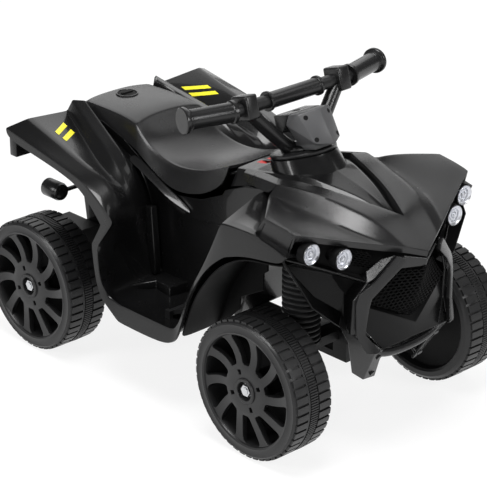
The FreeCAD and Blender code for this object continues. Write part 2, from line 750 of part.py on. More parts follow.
# Chassis pan with the rear axle's hangers and the keel that runs to the front beam
pan_top = hull_bottom + s.pan_thickness
pan_half = s.hull_half_width - s.body_wall - s.seat_gap
hanger_x = (rear_axle_x - s.hanger_half_length, rear_axle_x + s.hanger_half_length)
pan_x = (half_length * HULL_REAR_SHARE + s.pan_rear_inset, half_length * HULL_FRONT_SHARE - s.body_wall - s.pan_front_inset)
beam_x = (front_axle_x - s.beam_depth / 2, front_axle_x + s.beam_depth / 2)
keel_top = hull_bottom - s.keel_drop
keel_z = (keel_top - s.keel_thickness, keel_top)
keel_y = (-s.keel_half_width, s.keel_half_width)
keel_rear = pan_x[1] - s.keel_half_width * 4
pan_pieces = [
    box("pan_plate", pan_x, (-pan_half, pan_half), (hull_bottom, pan_top)),
    box("pan_keel", (keel_rear, beam_x[0] - s.seat_gap), keel_y, keel_z),
    box("pan_keel_step", (keel_rear, keel_rear + s.keel_half_width * 2), keel_y, (keel_top, hull_bottom)),
]
for side, sign in SIDES.items():
    inner = s.hanger_inner * sign
    outer = s.hanger_outer * sign
    spacer_end = wheel_inner_y - s.seat_gap if sign > 0 else s.gearbox_inner - s.seat_gap
    pan_pieces.append(box(
        "hanger_" + side, hanger_x, (inner, outer) if sign > 0 else (outer, inner),
        (axle_z - s.hanger_drop, hull_bottom),
    ))
    pan_pieces.append(cylinder(
        "spacer_" + side, s.spacer_radius, spacer_end - s.hanger_inner, rear_axle_x, inner, axle_z,
        ALONG_Y if sign > 0 else ALONG_MINUS_Y,
    ))
axle_hole = cylinder(
    "axle_hole", s.axle_radius + s.press_clearance, s.track_outer, rear_axle_x, -wheel_outer_y, axle_z, ALONG_Y,
)
keep("chassis_pan", cut("chassis_pan", fuse("chassis_pan_blank", *pan_pieces), axle_hole))

# Front beam: a forked cross member with kingpin ears, bellows seats and the column's lower bush
fork_top = axle_z + s.fork_height / 2
fork_low = axle_z - s.fork_height / 2
ear_y = kingpin_y + s.ear_radius
beam_half = [
    (ear_y, fork_top + s.beam_thickness), (ear_y, fork_top), (web_y[1], fork_top),
    (web_y[1], fork_low), (ear_y, fork_low), (ear_y, fork_low - s.ear_thickness),
    (web_y[0], fork_low - s.ear_thickness), (web_y[0], fork_top),
]
beam_outline = beam_half + [(-y, z) for y, z in reversed(beam_half)]
beam_bar = padded("beam_bar", "YZ_Plane", beam_outline, s.beam_depth)
put(beam_bar, front_axle_x)
beam_top = fork_top + s.beam_thickness
bar_z = height_at(BUMPER_BAR_SHARE)
bush_z = (beam_top - s.bush_length / 2, beam_top + s.bush_length / 2)
beam_pieces = [
    beam_bar,
    box("beam_post", beam_x, keel_y, (keel_z[0], beam_top)),
    box("beam_bush_arm", (beam_x[0] - s.bush_reach, beam_x[0]), (-s.bush_half_width, s.bush_half_width), bush_z),
    box("beam_bush_root", beam_x, (-s.bush_half_width, s.bush_half_width), bush_z),
]
beam_cuts = []
for side, sign in SIDES.items():
    beam_pieces.append(cylinder(
        "bellows_seat_" + side, s.bellows_radius, s.bellows_seat_thickness,
        front_axle_x, bellows_y * sign, beam_top,
    ))
    beam_cuts.append(cylinder(
        "kingpin_hole_" + side, s.kingpin_radius + s.press_clearance, beam_top,
        front_axle_x, kingpin_y * sign, ZERO,
    ))
    beam_cuts.append(cylinder(
        "kingpin_head_room_" + side, s.kingpin_head_radius + s.seat_gap, s.wheel_radius,
        front_axle_x, kingpin_y * sign, beam_top,
    ))

column_foot_x = half_length * COLUMN_FOOT_SHARES[0]
column_foot_z = height_at(COLUMN_FOOT_SHARES[1])
column_run = beam_x[0] - s.bush_reach / 2 - column_foot_x
column_drop = column_foot_z - beam_top
column_turn = Rotation(Y_AXIS, -math.degrees(math.atan2(float(column_run), float(column_drop))))
column_frame = Placement(Vector(float(column_foot_x), 0, float(column_foot_z)), column_turn)
column_below = s.column_below + Size(
    math.hypot(float(column_run), float(column_drop)),
    "sqrt(%s ^ 2 + %s ^ 2)" % (column_run.text, column_drop.text),
)


def on_column(obj):
    """Places an object that is drawn about the steering column in the column's own frame."""
    obj.Placement = column_frame.multiply(obj.Placement)
    obj.setExpression("Placement.Base.x", None)
    obj.setExpression("Placement.Base.y", None)
    obj.setExpression("Placement.Base.z", None)
    return obj


bush_hole = on_column(cylinder(
    "bush_hole", s.column_radius + s.running_clearance, column_below * 2, z=-column_below * 2,
))
beam_cuts.append(bush_hole)

# Nose fascia with its mouth, cheeks, lamp shelves and two chin legs
fascia_names = list(FASCIA_SHARES)
fascia_points = {name: spot(share) for name, share in FASCIA_SHARES.items()}
fascia_faces = [tuple(fascia_names.index(name) for name in face) for face in FASCIA_FACES]
fascia_shape = thick_shell(*both_halves(fascia_points.values(), fascia_faces), s.body_wall)
leg_in, toe_in, toe_out, knee = (fascia_points[name] for name in ("chin_in", "toe_in", "toe_out", "knee"))
leg_normal = (toe_out - leg_in).cross(knee - leg_in).normalize()
screw_tools = []
screw_shapes = []
for share in LEG_SCREW_SHARES:
    head = (leg_in + knee) * (0.5 - 0.5 * share) + (toe_in + toe_out) * (0.5 * share)
    for sign in SIDES.values():
        centre = Vector(head.x, head.y * sign, head.z)
        normal = Vector(leg_normal.x, leg_normal.y * sign, leg_normal.z)
        start = centre - normal * float(s.nose_screw_length)
        depth = float(s.nose_screw_length + s.cut_overrun)
        hole = float(s.nose_screw_radius + s.press_clearance)
        screw_tools.append(Part.makeCylinder(hole, depth, start, normal))
        screw_shapes.append(Part.makeCylinder(
            float(s.nose_screw_radius), float(s.nose_screw_length), start, normal,
        ))
fascia_shape = fascia_shape.cut(Part.makeCompound(screw_tools))
keep("front_fascia", solid("front_fascia", fascia_shape))
keep("fascia_screws", solid("fascia_screws", Part.makeCompound(screw_shapes)))

# Grille panel behind the mouth, crowned in the middle
grille_points = []
for crown, edge in zip(GRILLE_CROWN_SHARES, ("grille_top", "grille_mid", "grille_low")):
    grille_points += [spot(crown), fascia_points[edge]]
grille_shape = thick_shell(*both_halves(grille_points, grid_faces(3, 2)), s.grille_wall)
grille_shape.translate(-X_AXIS * float(s.bumper_bar_radius * 2))
keep("grille_panel", solid("grille_panel", slide_to(grille_shape, fascia_shape, X_AXIS, s.seat_gap)))

# Bumper bar across the backs of the chin legs
bar_blank = Part.makeCylinder(
    float(s.bumper_bar_radius), float(s.bumper_bar_half * 2),
    Vector(float(beam_x[1]), -float(s.bumper_bar_half), float(bar_z)), Y_AXIS,
)
solids_ahead = Part.makeCompound([fascia_shape] + screw_shapes)
bar_shape = slide_to(bar_blank, solids_ahead, X_AXIS, s.seat_gap)
keep("bumper_bar", solid("bumper_bar", bar_shape))
bar_back = Size(bar_shape.BoundBox.XMin, repr(bar_shape.BoundBox.XMin))
for side, sign in SIDES.items():
    inner = s.strut_inner * sign
    outer = s.strut_outer * sign
    beam_pieces.append(box(
        "strut_" + side, (beam_x[0], bar_back - s.seat_gap), (inner, outer) if sign > 0 else (outer, inner),
        (bar_z - s.strut_height / 2, bar_z + s.strut_height / 2),
    ))
keep("front_beam", cut("front_beam", fuse("front_beam_blank", *beam_pieces), *beam_cuts))

# Hood: beak, arms round the console, scooped wings and outer skirts
doc.recompute()
hood_shape = net_shell(HOOD_SHARES, s.body_wall).translated(Z_AXIS * float(s.cut_overrun))
hood_shape = slide_to(hood_shape, nodes["main_body"].Shape, -Z_AXIS, s.seat_gap)
keep("front_hood", solid("front_hood", hood_shape))

# Console with the steering column's passage and two switch windows
console_blank = solid("console_blank", net_shell(CONSOLE_SHARES, s.body_wall))
column_passage = on_column(cylinder(
    "column_passage", s.column_hole_radius, s.column_above * 2, z=-s.column_above,
))
window_x = (
    rocker_x - s.rocker_length / 2 - s.rocker_clearance, rocker_x + s.rocker_length / 2 + s.rocker_clearance,
)
window_half = s.rocker_width / 2 + s.rocker_clearance
windows = []
for sign in SIDES.values():
    middle = s.rocker_y * sign
    windows.append(box(
        "switch_window", window_x, (middle - window_half, middle + window_half),
        (rocker_z - s.rocker_depth * 2, rocker_z + s.rocker_depth * 2),
    ))
keep("console_cover", cut("console_cover", console_blank, column_passage, *windows))

# Switch housing under the console, with a rocker on a pin in each window
housing_half_y = s.rocker_y + window_half + s.switch_wall
housing_top = Size(0.0, "0") + rocker_z - s.rocker_depth / 2
housing_x = (window_x[0] - s.switch_wall, window_x[1] + s.switch_wall)
housing_blank = box(
    "housing_blank", housing_x, (-housing_half_y, housing_half_y),
    (housing_top - s.switch_height, housing_top),
)
housing_cuts = []
for sign in SIDES.values():
    middle = s.rocker_y * sign
    housing_cuts.append(box(
        "rocker_room", window_x, (middle - window_half, middle + window_half),
        (housing_top - s.switch_height + s.switch_wall, housing_top + s.cut_overrun),
    ))
rocker_pivot_z = housing_top - s.switch_wall
housing_cuts.append(cylinder(
    "rocker_pin_hole", s.rocker_pin_radius + s.running_clearance, housing_half_y * 2,
    rocker_x, -housing_half_y, rocker_pivot_z, ALONG_Y,
))
housing = cut("switch_housing_blank", housing_blank, *housing_cuts)
doc.recompute()
console_shape = nodes["console_cover"].Shape
housing_shape = slide_to(housing.Shape.translated(Vector(0, 0, -float(s.switch_height))), console_shape, Z_AXIS, s.seat_gap)
housing_lift = housing_shape.BoundBox.ZMax - float(housing_top)
keep("switch_housing", solid("switch_housing", housing_shape))
for name, sign in (("power_rocker", 1), ("direction_rocker", -1)):
    half = s.rocker_length / 2
    crown = housing_top + s.rocker_depth
    face = [
        (-half, housing_top + s.rocker_depth - s.rocker_crown), (ZERO, crown - s.rocker_crown * 2), (half, crown),
        (half - s.rocker_crown, rocker_pivot_z), (s.rocker_crown - half, rocker_pivot_z),
    ]
    rocker = padded(name + "_cap", "XZ_Plane", face, s.rocker_width)
    put(rocker, rocker_x, s.rocker_y * sign)
    reach = s.rocker_width / 2 + s.rocker_clearance + s.switch_wall / 2
    pin = cylinder(
        name + "_pin", s.rocker_pin_radius, reach * 2, rocker_x, s.rocker_y * sign - reach, rocker_pivot_z, ALONG_Y,
    )
    keep(name, fuse(name, rocker, pin))
    nodes[name].Placement = Placement(Vector(0, 0, housing_lift), Rotation())

# Seat moulding with a hump, a hinge barrel at its front and a turning lock at its back
seat_blank = solid("seat_blank", net_shell(SEAT_SHARES, s.seat_wall))
barrel = cylinder(
    "seat_barrel", s.hinge_barrel_radius, s.hinge_half * 2, hinge_x, -s.hinge_half, hinge_z, ALONG_Y,
)
barrel_web = box(
    "seat_barrel_web", (hinge_x - s.hinge_barrel_radius, hinge_x),
    (-s.hinge_half, s.hinge_half), (hinge_z, hinge_z + s.hinge_barrel_radius * 2),
)
barrel_bore = cylinder(
    "seat_barrel_bore", s.hinge_pin_radius + s.running_clearance, s.hinge_half * 2 + s.cut_overrun * 2,
    hinge_x, -(s.hinge_half + s.cut_overrun), hinge_z, ALONG_Y,
)
lock_top = height_at(LOCK_TOP_SHARE) + s.lock_proud
lock_hole = cylinder(
    "lock_hole", s.lock_radius + s.lock_clearance, s.lock_body * 2, lock_x, ZERO, lock_top - s.lock_body,
)
keep("seat", cut("seat", fuse("seat_joined", seat_blank, barrel, barrel_web), barrel_bore, lock_hole))
hinge_pin_half = s.hinge_half + s.seat_gap + s.hinge_ear_width
keep("seat_hinge_pin", cylinder(
    "seat_hinge_pin", s.hinge_pin_radius, hinge_pin_half * 2, hinge_x, -hinge_pin_half, hinge_z, ALONG_Y,
))
flange_top = height_at(LOCK_TOP_SHARE) - s.seat_wall * 2
lock_foot = flange_top - s.lock_flange - s.lock_stem
lock_blank = fuse(
    "lock_blank",
    cylinder("lock_body", s.lock_radius, lock_top - flange_top + s.lock_flange, lock_x, ZERO, flange_top - s.lock_flange),
    cylinder("lock_flange", s.lock_flange_radius, s.lock_flange, lock_x, ZERO, flange_top - s.lock_flange),
    cylinder("lock_stem", s.lock_stem_radius, s.lock_stem + s.lock_flange, lock_x, ZERO, lock_foot),
    box(
        "lock_tab", (lock_x - s.lock_stem_radius, lock_x + s.lock_stem_radius),
        (ZERO, s.lock_tab_reach), (lock_foot, lock_foot + s.lock_tab_thickness),
    ),
)
lock_slot = box(
    "lock_slot", (lock_x - s.lock_radius * 0.6, lock_x + s.lock_radius * 0.6),
    (-s.lock_slot_width / 2, s.lock_slot_width / 2), (lock_top - s.lock_slot_depth, lock_top + s.cut_overrun),
)
keep("seat_lock", cut("seat_lock", lock_blank, lock_slot))

# Headlamps: a pod plate on each shelf with two reflector cups and two lenses
lamps = [spot_sizes(share) for share in LAMP_SHARES]


def pod_plate(sign):
    """The dark plate that stands on a lamp shelf, behind the lamps."""
    inner = (fascia_points["cheek_in"] + fascia_points["shelf_in"]) / 2
    outer = (fascia_points["cheek_tip"] + fascia_points["shelf_tip"]) / 2
    along = outer - inner
    back = Vector(-along.y, along.x, 0).normalize() * float(s.pod_plate)
    low = [inner + along * share for share in POD_PLATE_SHARES]
    rises = (s.pod_plate_inner_rise, s.pod_plate_outer_rise)
    high = [point + Vector(0, 0, float(rise)) for point, rise in zip(low, rises)]
    front = [low[0], low[1], high[1], high[0]]
    front = [Vector(p.x, p.y * sign, p.z) for p in front]
    rear = [Vector(p.x + back.x, p.y + back.y * sign, p.z) for p in front]
    return slab(front, rear) if sign > 0 else slab(front[::-1], rear[::-1])


plates = []
cups = []
lenses = []
for side, sign in SIDES.items():
    lifted = pod_plate(sign).translated(Vector(0, 0, float(s.pod_plate_inner_rise)))
    seated = slide_to(lifted, fascia_shape, -Z_AXIS, s.seat_gap)
    holes = [
        Part.makeCylinder(
            float(s.lamp_neck_radius + s.lamp_hole_clearance), float(s.lamp_length * 4),
            Vector(float(x - s.lamp_length * 2), float(y * sign), float(z)), X_AXIS,
        )
        for x, y, z in lamps
    ]
    plates.append(solid("pod_plate_" + side, seated.cut(Part.makeCompound(holes))))
    for index, (x, y, z) in enumerate(lamps):
        name = "%s_%d" % (side, index)
        body = fuse(
            "cup_body_" + name,
            cylinder("cup_front_" + name, s.lamp_radius, s.lamp_bowl, x - s.lamp_bowl, y * sign, z, ALONG_X),
            cylinder("cup_neck_" + name, s.lamp_neck_radius, s.lamp_length, x - s.lamp_length, y * sign, z, ALONG_X),
        )
        bowl = doc.addObject("Part::Cone", "cup_bowl_" + name)
        bind(
            bowl, Radius1=s.lamp_radius * 0.35, Radius2=s.lamp_radius - s.lamp_wall, Height=s.lamp_cup_depth,
        )
        put(bowl, x - s.lamp_cup_depth, y * sign, z, ALONG_X)
        cups.append(cut("cup_" + name, body, bowl))
        lens = revolved("lens_" + name, [
            (ZERO, ZERO), (s.lamp_radius, ZERO), (s.lamp_radius, s.lens_thickness),
            (s.lamp_radius * 0.6, s.lens_thickness + s.lens_dome * 0.6), (ZERO, s.lens_thickness + s.lens_dome),
        ])
        lenses.append(put(lens, x, y * sign, z, ALONG_X))
keep("headlight_pods", gather("headlight_pods", *plates))
keep("headlight_reflectors", gather("headlight_reflectors", *cups))
keep("headlight_lenses", gather("headlight_lenses", *lenses))

# Ribbed bellows between the front beam and the body's arches
bellows_low = beam_top + s.bellows_seat_thickness
bellows_high = height_at(ARCH_DECK_SHARE) - s.body_wall - s.seat_gap
pitch = (bellows_high - bellows_low) / BELLOWS_RIB_COUNT
rib_points = [(s.bellows_bore_radius, ZERO)]
for rib in range(BELLOWS_RIB_COUNT):
    rib_points.append((s.bellows_root_radius, pitch * rib))
    rib_points.append((s.bellows_radius, pitch * (rib + 0.5)))
rib_points.append((s.bellows_root_radius, bellows_high - bellows_low))
rib_points.append((s.bellows_bore_radius, bellows_high - bellows_low))
for side, sign in SIDES.items():
    bellows = revolved("bellows_" + side, rib_points)
    keep("bellows_" + side, put(bellows, front_axle_x, bellows_y * sign, bellows_low))

# Wheels: a spoked outer half and a hollow inner half, clipped together at the seam
rim_top = s.outer_half_width
tread_y = s.tread_groove_width / 2
tread_tool = [
    (s.wheel_radius - s.tread_groove_depth, -tread_y), (s.wheel_radius + s.tread_groove_depth, -tread_y),
    (s.wheel_radius + s.tread_groove_depth, tread_y), (s.wheel_radius - s.tread_groove_depth, tread_y),
]
hub_bore = s.axle_radius + s.running_clearance
outer_half = revolved("wheel_outer_half", [
    (hub_bore, ZERO), (hub_bore, s.spoke_disc + s.hub_rise), (s.hub_radius, s.spoke_disc + s.hub_rise),
    (s.hub_radius + s.rim_lip, s.spoke_disc), (s.rim_opening_radius, s.spoke_disc),
    (s.rim_opening_radius, rim_top - s.rim_lip), (s.rim_opening_radius + s.rim_lip, rim_top),
    (s.wheel_radius - s.tyre_shoulder, rim_top), (s.wheel_radius, rim_top - s.tyre_shoulder), (s.wheel_radius, ZERO),
])
pocket_ring(outer_half, "spoke_window", [
    (s.window_inner_radius, -s.window_inner_width / 2), (s.window_outer_radius, -s.window_outer_width / 2),
    (s.window_outer_radius, s.window_outer_width / 2), (s.window_inner_radius, s.window_inner_width / 2),
], s.spoke_disc, SPOKE_COUNT)
pocket_ring(outer_half, "outer_tread", tread_tool, s.tread_groove_length, TREAD_COUNT)
inner_depth = s.wheel_width - s.outer_half_width
tube_radius = s.wheel_radius - s.tyre_wall - s.tread_groove_depth
inner_half = revolved("wheel_inner_half", [
    (hub_bore, ZERO), (s.wheel_radius, ZERO), (s.wheel_radius, inner_depth - s.tyre_shoulder),
    (s.wheel_radius - s.tyre_shoulder, inner_depth), (tube_radius - s.tyre_shoulder, inner_depth),
    (tube_radius, inner_depth - s.tyre_shoulder), (tube_radius, s.tyre_wall),
    (s.hub_tube_radius, s.tyre_wall), (s.hub_tube_radius, inner_depth), (hub_bore, inner_depth),
])
pocket_ring(
    inner_half, "inner_tread", tread_tool, s.tread_groove_length, TREAD_COUNT, inner_depth - s.tread_groove_length,
)
for end, x in (("front", front_axle_x), ("rear", rear_axle_x)):
    for side, sign in SIDES.items():
        name = "wheel_%s_%s" % (end, side)
        outwards = ALONG_Y if sign > 0 else ALONG_MINUS_Y
        inwards = ALONG_MINUS_Y if sign > 0 else ALONG_Y
        for half, master, turn in (("outer", outer_half, outwards), ("inner", inner_half, inwards)):
            wheel_half = gather(name + "_" + half, master)
            keep(name + "_" + half, put(wheel_half, x, seam_y * sign, axle_z, turn))

# Washers and nuts in the hubs
hub_face_y = seam_y + s.spoke_disc + s.hub_rise
washer = cut(
    "washer_form", cylinder("washer_disc", s.washer_radius, s.washer_thickness),
    cylinder("washer_hole", s.axle_radius + s.running_clearance, s.washer_thickness),
)
hexagon = doc.addObject("Part::Prism", "nut_hexagon")
hexagon.Polygon = 6
bind(hexagon, Circumradius=s.nut_radius, Height=s.nut_thickness)
nut = cut("nut_form", hexagon, cylinder("nut_hole", s.axle_radius + s.press_clearance, s.nut_thickness))
nut_stack = gather("nut_stack", washer, put(gather("nut_seat", nut), z=s.washer_thickness))
for end, x in (("front", front_axle_x), ("rear", rear_axle_x)):
    for side, sign in SIDES.items():
        name = "axle_nut_%s_%s" % (end, side)
        stack = gather(name, nut_stack)
        turn = ALONG_Y if sign > 0 else ALONG_MINUS_Y
        keep(name, put(stack, x, (hub_face_y + s.seat_gap) * sign, axle_z, turn))

# Rear axle, gearbox, motor and the coupler that drives the right rear wheel
axle_end_y = wheel_outer_y - s.axle_end_inset
keep("rear_axle", cylinder(
    "rear_axle", s.axle_radius, axle_end_y * 2, rear_axle_x, -axle_end_y, axle_z, ALONG_Y,
))
gearbox_box = box(
    "gearbox_box", (rear_axle_x - s.gearbox_rear, rear_axle_x + s.gearbox_front),
    (s.seat_gap - wheel_inner_y, -s.gearbox_inner), (axle_z - s.gearbox_drop, axle_z + s.gearbox_rise),
)
gearbox_bore = cylinder(
    "gearbox_bore", s.axle_radius + s.seat_gap, wheel_inner_y, rear_axle_x, -wheel_inner_y, axle_z, ALONG_Y,
)
keep("gearbox", cut("gearbox", gearbox_box, gearbox_bore))
keep("drive_motor", cylinder(
    "drive_motor", s.motor_radius, s.motor_length, motor_x, -s.gearbox_inner, motor_z, ALONG_Y,
))
coupler_disc = cylinder("coupler_disc", s.coupler_radius, s.coupler_thickness, turn=ALONG_Y)
coupler_hole = cylinder("coupler_hole", s.hub_tube_radius + s.press_clearance, s.coupler_thickness, turn=ALONG_Y)
put(coupler_disc, rear_axle_x, -(wheel_inner_y + s.coupler_thickness + s.seat_gap), axle_z, ALONG_Y)
put(coupler_hole, rear_axle_x, -(wheel_inner_y + s.coupler_thickness + s.seat_gap), axle_z, ALONG_Y)
keep("drive_coupler", cut("drive_coupler", coupler_disc, coupler_hole))
battery_rear_x = half_length * BATTERY_REAR_SHARE
keep("battery", box(
    "battery", (battery_rear_x, battery_rear_x + s.battery_length),
    (-s.battery_width / 2, s.battery_width / 2), (pan_top, pan_top + s.battery_height),
))

# Exhaust tips on thin stalks below the rear fenders
exhaust_front_x, exhaust_y, exhaust_z = spot_sizes(EXHAUST_SHARES)
tips = []
for side, sign in SIDES.items():
    tip = cut(
        "exhaust_tip_" + side,
        cylinder(
            "exhaust_can_" + side, s.exhaust_radius, s.exhaust_length,
            exhaust_front_x - s.exhaust_length, exhaust_y * sign, exhaust_z, ALONG_X,
        ),
        cylinder(
            "exhaust_bore_" + side, s.exhaust_bore_radius, s.exhaust_bore_depth,
            exhaust_front_x - s.exhaust_length, exhaust_y * sign, exhaust_z, ALONG_X,
        ),
    )
    stalk = cylinder(
        "exhaust_stalk_" + side, s.exhaust_stalk_radius, exhaust_y - s.hull_half_width - s.seat_gap,
        exhaust_front_x - s.exhaust_radius / 2, (s.hull_half_width + s.seat_gap) * sign, exhaust_z,
        ALONG_Y if sign > 0 else ALONG_MINUS_Y,
    )
    tips.append(fuse("exhaust_" + side, tip, stalk))
keep("exhaust_tips", gather("exhaust_tips", *tips))

# Kingpins, knuckles and stub axles
pins = []
for side, sign in SIDES.items():
    pin_low = fork_low - s.ear_thickness
    pins.append(fuse(
        "kingpin_" + side,
        cylinder(
            "kingpin_rod_" + side, s.kingpin_radius, beam_top - pin_low,
            front_axle_x, kingpin_y * sign, pin_low,
        ),
        cylinder(
            "kingpin_cap_" + side, s.kingpin_head_radius, s.kingpin_head,
            front_axle_x, kingpin_y * sign, beam_top,
        ),
    ))
keep("kingpins", gather("kingpins", *pins))
tie_z = (axle_z + s.tie_rod_rise - s.tie_rod_thickness / 2, axle_z + s.tie_rod_rise + s.tie_rod_thickness / 2)
arm_z = tie_z[1] + s.seat_gap
arm_x = front_axle_x - s.arm_length
for side, sign in SIDES.items():
    y = kingpin_y * sign
    outwards = ALONG_Y if sign > 0 else ALONG_MINUS_Y
    boss_length = wheel_inner_y - s.seat_gap - kingpin_y
    blank = fuse(
        "knuckle_blank_" + side,
        cylinder(
            "knuckle_post_" + side, s.knuckle_radius, s.fork_height - s.seat_gap * 2,
            front_axle_x, y, fork_low + s.seat_gap,
        ),
        cylinder("knuckle_boss_" + side, s.knuckle_boss_radius, boss_length, front_axle_x, y, axle_z, outwards),
        box(
            "knuckle_arm_" + side, (arm_x, front_axle_x), (y - s.arm_half_width, y + s.arm_half_width),
            (arm_z, arm_z + s.arm_thickness),
        ),
        cylinder("knuckle_eye_" + side, s.arm_half_width, s.arm_thickness, arm_x, y, arm_z),
        cylinder(
            "knuckle_link_pin_" + side, s.link_pin_radius, s.tie_rod_thickness * 2 + s.seat_gap,
            arm_x, y, tie_z[0] - s.tie_rod_thickness,
        ),
    )
    stub_start = kingpin_y + s.knuckle_radius - s.stub_depth / 2
    stub_bore = cylinder(
        "stub_bore_" + side, s.axle_radius + s.press_clearance, wheel_outer_y, front_axle_x, stub_start * sign, axle_z,
        outwards,
    )
    pin_bore = cylinder(
        "kingpin_bore_" + side, s.kingpin_radius + s.running_clearance, s.fork_height, front_axle_x, y, fork_low,
    )
    keep("knuckle_" + side, cut("knuckle_" + side, blank, stub_bore, pin_bore))
    keep("stub_axle_" + side, cylinder(
        "stub_axle_" + side, s.axle_radius, axle_end_y - stub_start - s.seat_gap, front_axle_x,
        (stub_start + s.seat_gap) * sign, axle_z, outwards,
    ))

# Tie rod: a cranked strip that links both knuckle arms to the column's crank pin
crank_local_z = -(column_below - s.crank_thickness)
pin_foot = column_frame.multVec(Vector(
    -float(s.crank_radius), 0, -float(column_below + s.crank_pin_length),
))
pin_head = column_frame.multVec(Vector(-float(s.crank_radius), 0, -float(column_below)))
climb = (float(tie_z[0]) + float(s.tie_rod_thickness) / 2 - pin_foot.z) / (pin_head.z - pin_foot.z)
crank_pin_x = (pin_foot + (pin_head - pin_foot) * climb).x
strip_front = float(arm_x) + float(s.tie_rod_half_width)
strip_rear = float(arm_x) - float(s.tie_rod_half_width)
bow_front = crank_pin_x + float(s.tie_rod_half_width)
bow_rear = crank_pin_x - float(s.tie_rod_half_width)
strip_end = float(kingpin_y)
strip_shoulder = strip_end - float(s.tie_rod_half_width) * 2
bow_half = float(s.tie_rod_bow_half)
strip_half = [
    (strip_front, strip_end), (strip_rear, strip_end), (strip_rear, strip_shoulder), (bow_rear, bow_half),
]
strip_back = [(bow_front, bow_half), (strip_front, strip_shoulder)]
rim = strip_half + [(x, -y) for x, y in reversed(strip_half)] + [(x, -y) for x, y in reversed(strip_back)] + strip_back
corners = [Vector(x, y, float(tie_z[0])) for x, y in rim]
strip = Part.Face(Part.makePolygon(corners + corners[:1])).extrude(Vector(0, 0, float(s.tie_rod_thickness)))
hole_radius = float(s.link_pin_radius + s.link_play)
drill = float(s.tie_rod_thickness)
for sign in SIDES.values():
    end = Vector(float(arm_x), strip_end * sign, float(tie_z[0]))
    strip = strip.fuse(Part.makeCylinder(float(s.tie_rod_half_width), drill, end))
    strip = strip.cut(Part.makeCylinder(hole_radius, drill, end))
strip = strip.cut(Part.makeCylinder(hole_radius, drill, Vector(crank_pin_x, 0, float(tie_z[0]))))
keep("tie_rod", solid("tie_rod", strip.removeSplitter()))

# Steering column with its crank and the ring that it turns in
column = on_column(cylinder(
    "column_rod", s.column_radius, s.column_above + column_below, z=-column_below,
))
keep("steering_column", column)
crank_plate = on_column(box(
    "crank_plate", (-s.crank_radius - s.crank_half_width, s.column_radius * 2),
    (-s.crank_half_width, s.crank_half_width), (-column_below, crank_local_z),
))
crank_pin = on_column(cylinder(
    "crank_pin", s.link_pin_radius, s.crank_pin_length, -s.crank_radius, ZERO, -(column_below + s.crank_pin_length),
))
crank_hole = on_column(cylinder(
    "crank_hole", s.column_radius + s.press_clearance, s.crank_thickness, z=-column_below,
))
keep("steering_crank", cut("steering_crank", fuse("crank_blank", crank_plate, crank_pin), crank_hole))
ring_bore = s.column_radius + s.running_clearance
ring = revolved("steering_ring", [
    (ring_bore, -s.ring_base + s.seat_gap), (s.ring_radius, -s.ring_base + s.seat_gap),
    (s.ring_radius, ZERO), (s.ring_lip_radius, s.ring_rise), (ring_bore, s.ring_rise),
])
keep("steering_ring", on_column(ring))

# Handlebar: fork, bent bar, sleeve and grips in the column's frame
bar_z_local = s.bar_height
fork_base_low = s.ring_rise + s.ring_running_gap


def rod(start, end, radius):
    return Part.makeCylinder(float(radius), (end - start).Length, start, end - start)


def bar_wire():
    """The bar's centre line: a straight middle with both ends swept back and up."""
    end = Vector(-float(s.grip_sweep), float(s.grip_end_y), float(s.bar_height + s.grip_lift))
    bend = Vector(0, float(s.bar_bend_y), float(s.bar_height))
    outwards = (end - bend).normalize()
    turn = Y_AXIS.getAngle(outwards)
    setback = float(s.bar_bend_radius) * math.tan(turn / 2)
    before = bend - Y_AXIS * setback
    after = bend + outwards * setback
    middle = bend + (outwards - Y_AXIS).normalize() * (
        float(s.bar_bend_radius) / math.cos(turn / 2) - float(s.bar_bend_radius)
    )
    far = [Vector(p.x, -p.y, p.z) for p in (end, after, middle, before)]
    return Part.Wire([
        Part.LineSegment(far[0], far[1]).toShape(),
        Part.Arc(far[1], far[2], far[3]).toShape(),
        Part.LineSegment(far[3], before).toShape(),
        Part.Arc(before, middle, after).toShape(),
        Part.LineSegment(after, end).toShape(),
    ]), end, outwards


bar_path, grip_tip, grip_axis = bar_wire()
bar_ring = Part.Wire([Part.makeCircle(
    float(s.bar_radius), Vector(grip_tip.x, -grip_tip.y, grip_tip.z), Vector(grip_axis.x, -grip_axis.y, grip_axis.z),
)])
keep("handlebar_bar", on_column(solid("handlebar_bar", bar_path.makePipeShell([bar_ring], True, True))))
fork_pieces = [Part.makeCylinder(
    float(s.fork_base_radius), float(s.fork_base_height), Vector(0, 0, float(fork_base_low)),
)]
fork_cuts = [Part.makeCylinder(
    float(s.column_radius + s.press_clearance), float(s.fork_base_height * 2), Vector(0, 0, float(fork_base_low)),
)]
for sign in SIDES.values():
    foot = Vector(0, float(s.fork_foot_y) * sign, float(s.fork_foot_z))
    clamp = Vector(0, float(s.clamp_y) * sign, float(s.bar_height))
    fork_pieces.append(rod(foot, clamp, s.fork_arm_radius))
    fork_pieces.append(Part.makeSphere(float(s.fork_arm_radius), foot))
    fork_pieces.append(Part.makeBox(
        float(s.clamp_depth), float(s.clamp_width), float(s.clamp_height),
        clamp - Vector(float(s.clamp_depth) / 2, float(s.clamp_width) / 2, float(s.clamp_height) / 2),
    ))
bar_room = Part.makeCylinder(
    float(s.bar_radius + s.press_clearance), float(s.track_outer),
    Vector(0, -float(wheel_outer_y), float(s.bar_height)), Y_AXIS,
)
ring_room = Part.makeBox(
    float(s.track_outer), float(s.track_outer), float(s.track_outer),
    Vector(-float(wheel_outer_y), -float(wheel_outer_y), float(fork_base_low) - float(s.track_outer)),
)
fork_shape = fork_pieces[0].multiFuse(fork_pieces[1:]).cut(Part.makeCompound(fork_cuts + [bar_room])).cut(ring_room)
keep("handlebar_fork", on_column(solid("handlebar_fork", fork_shape)))
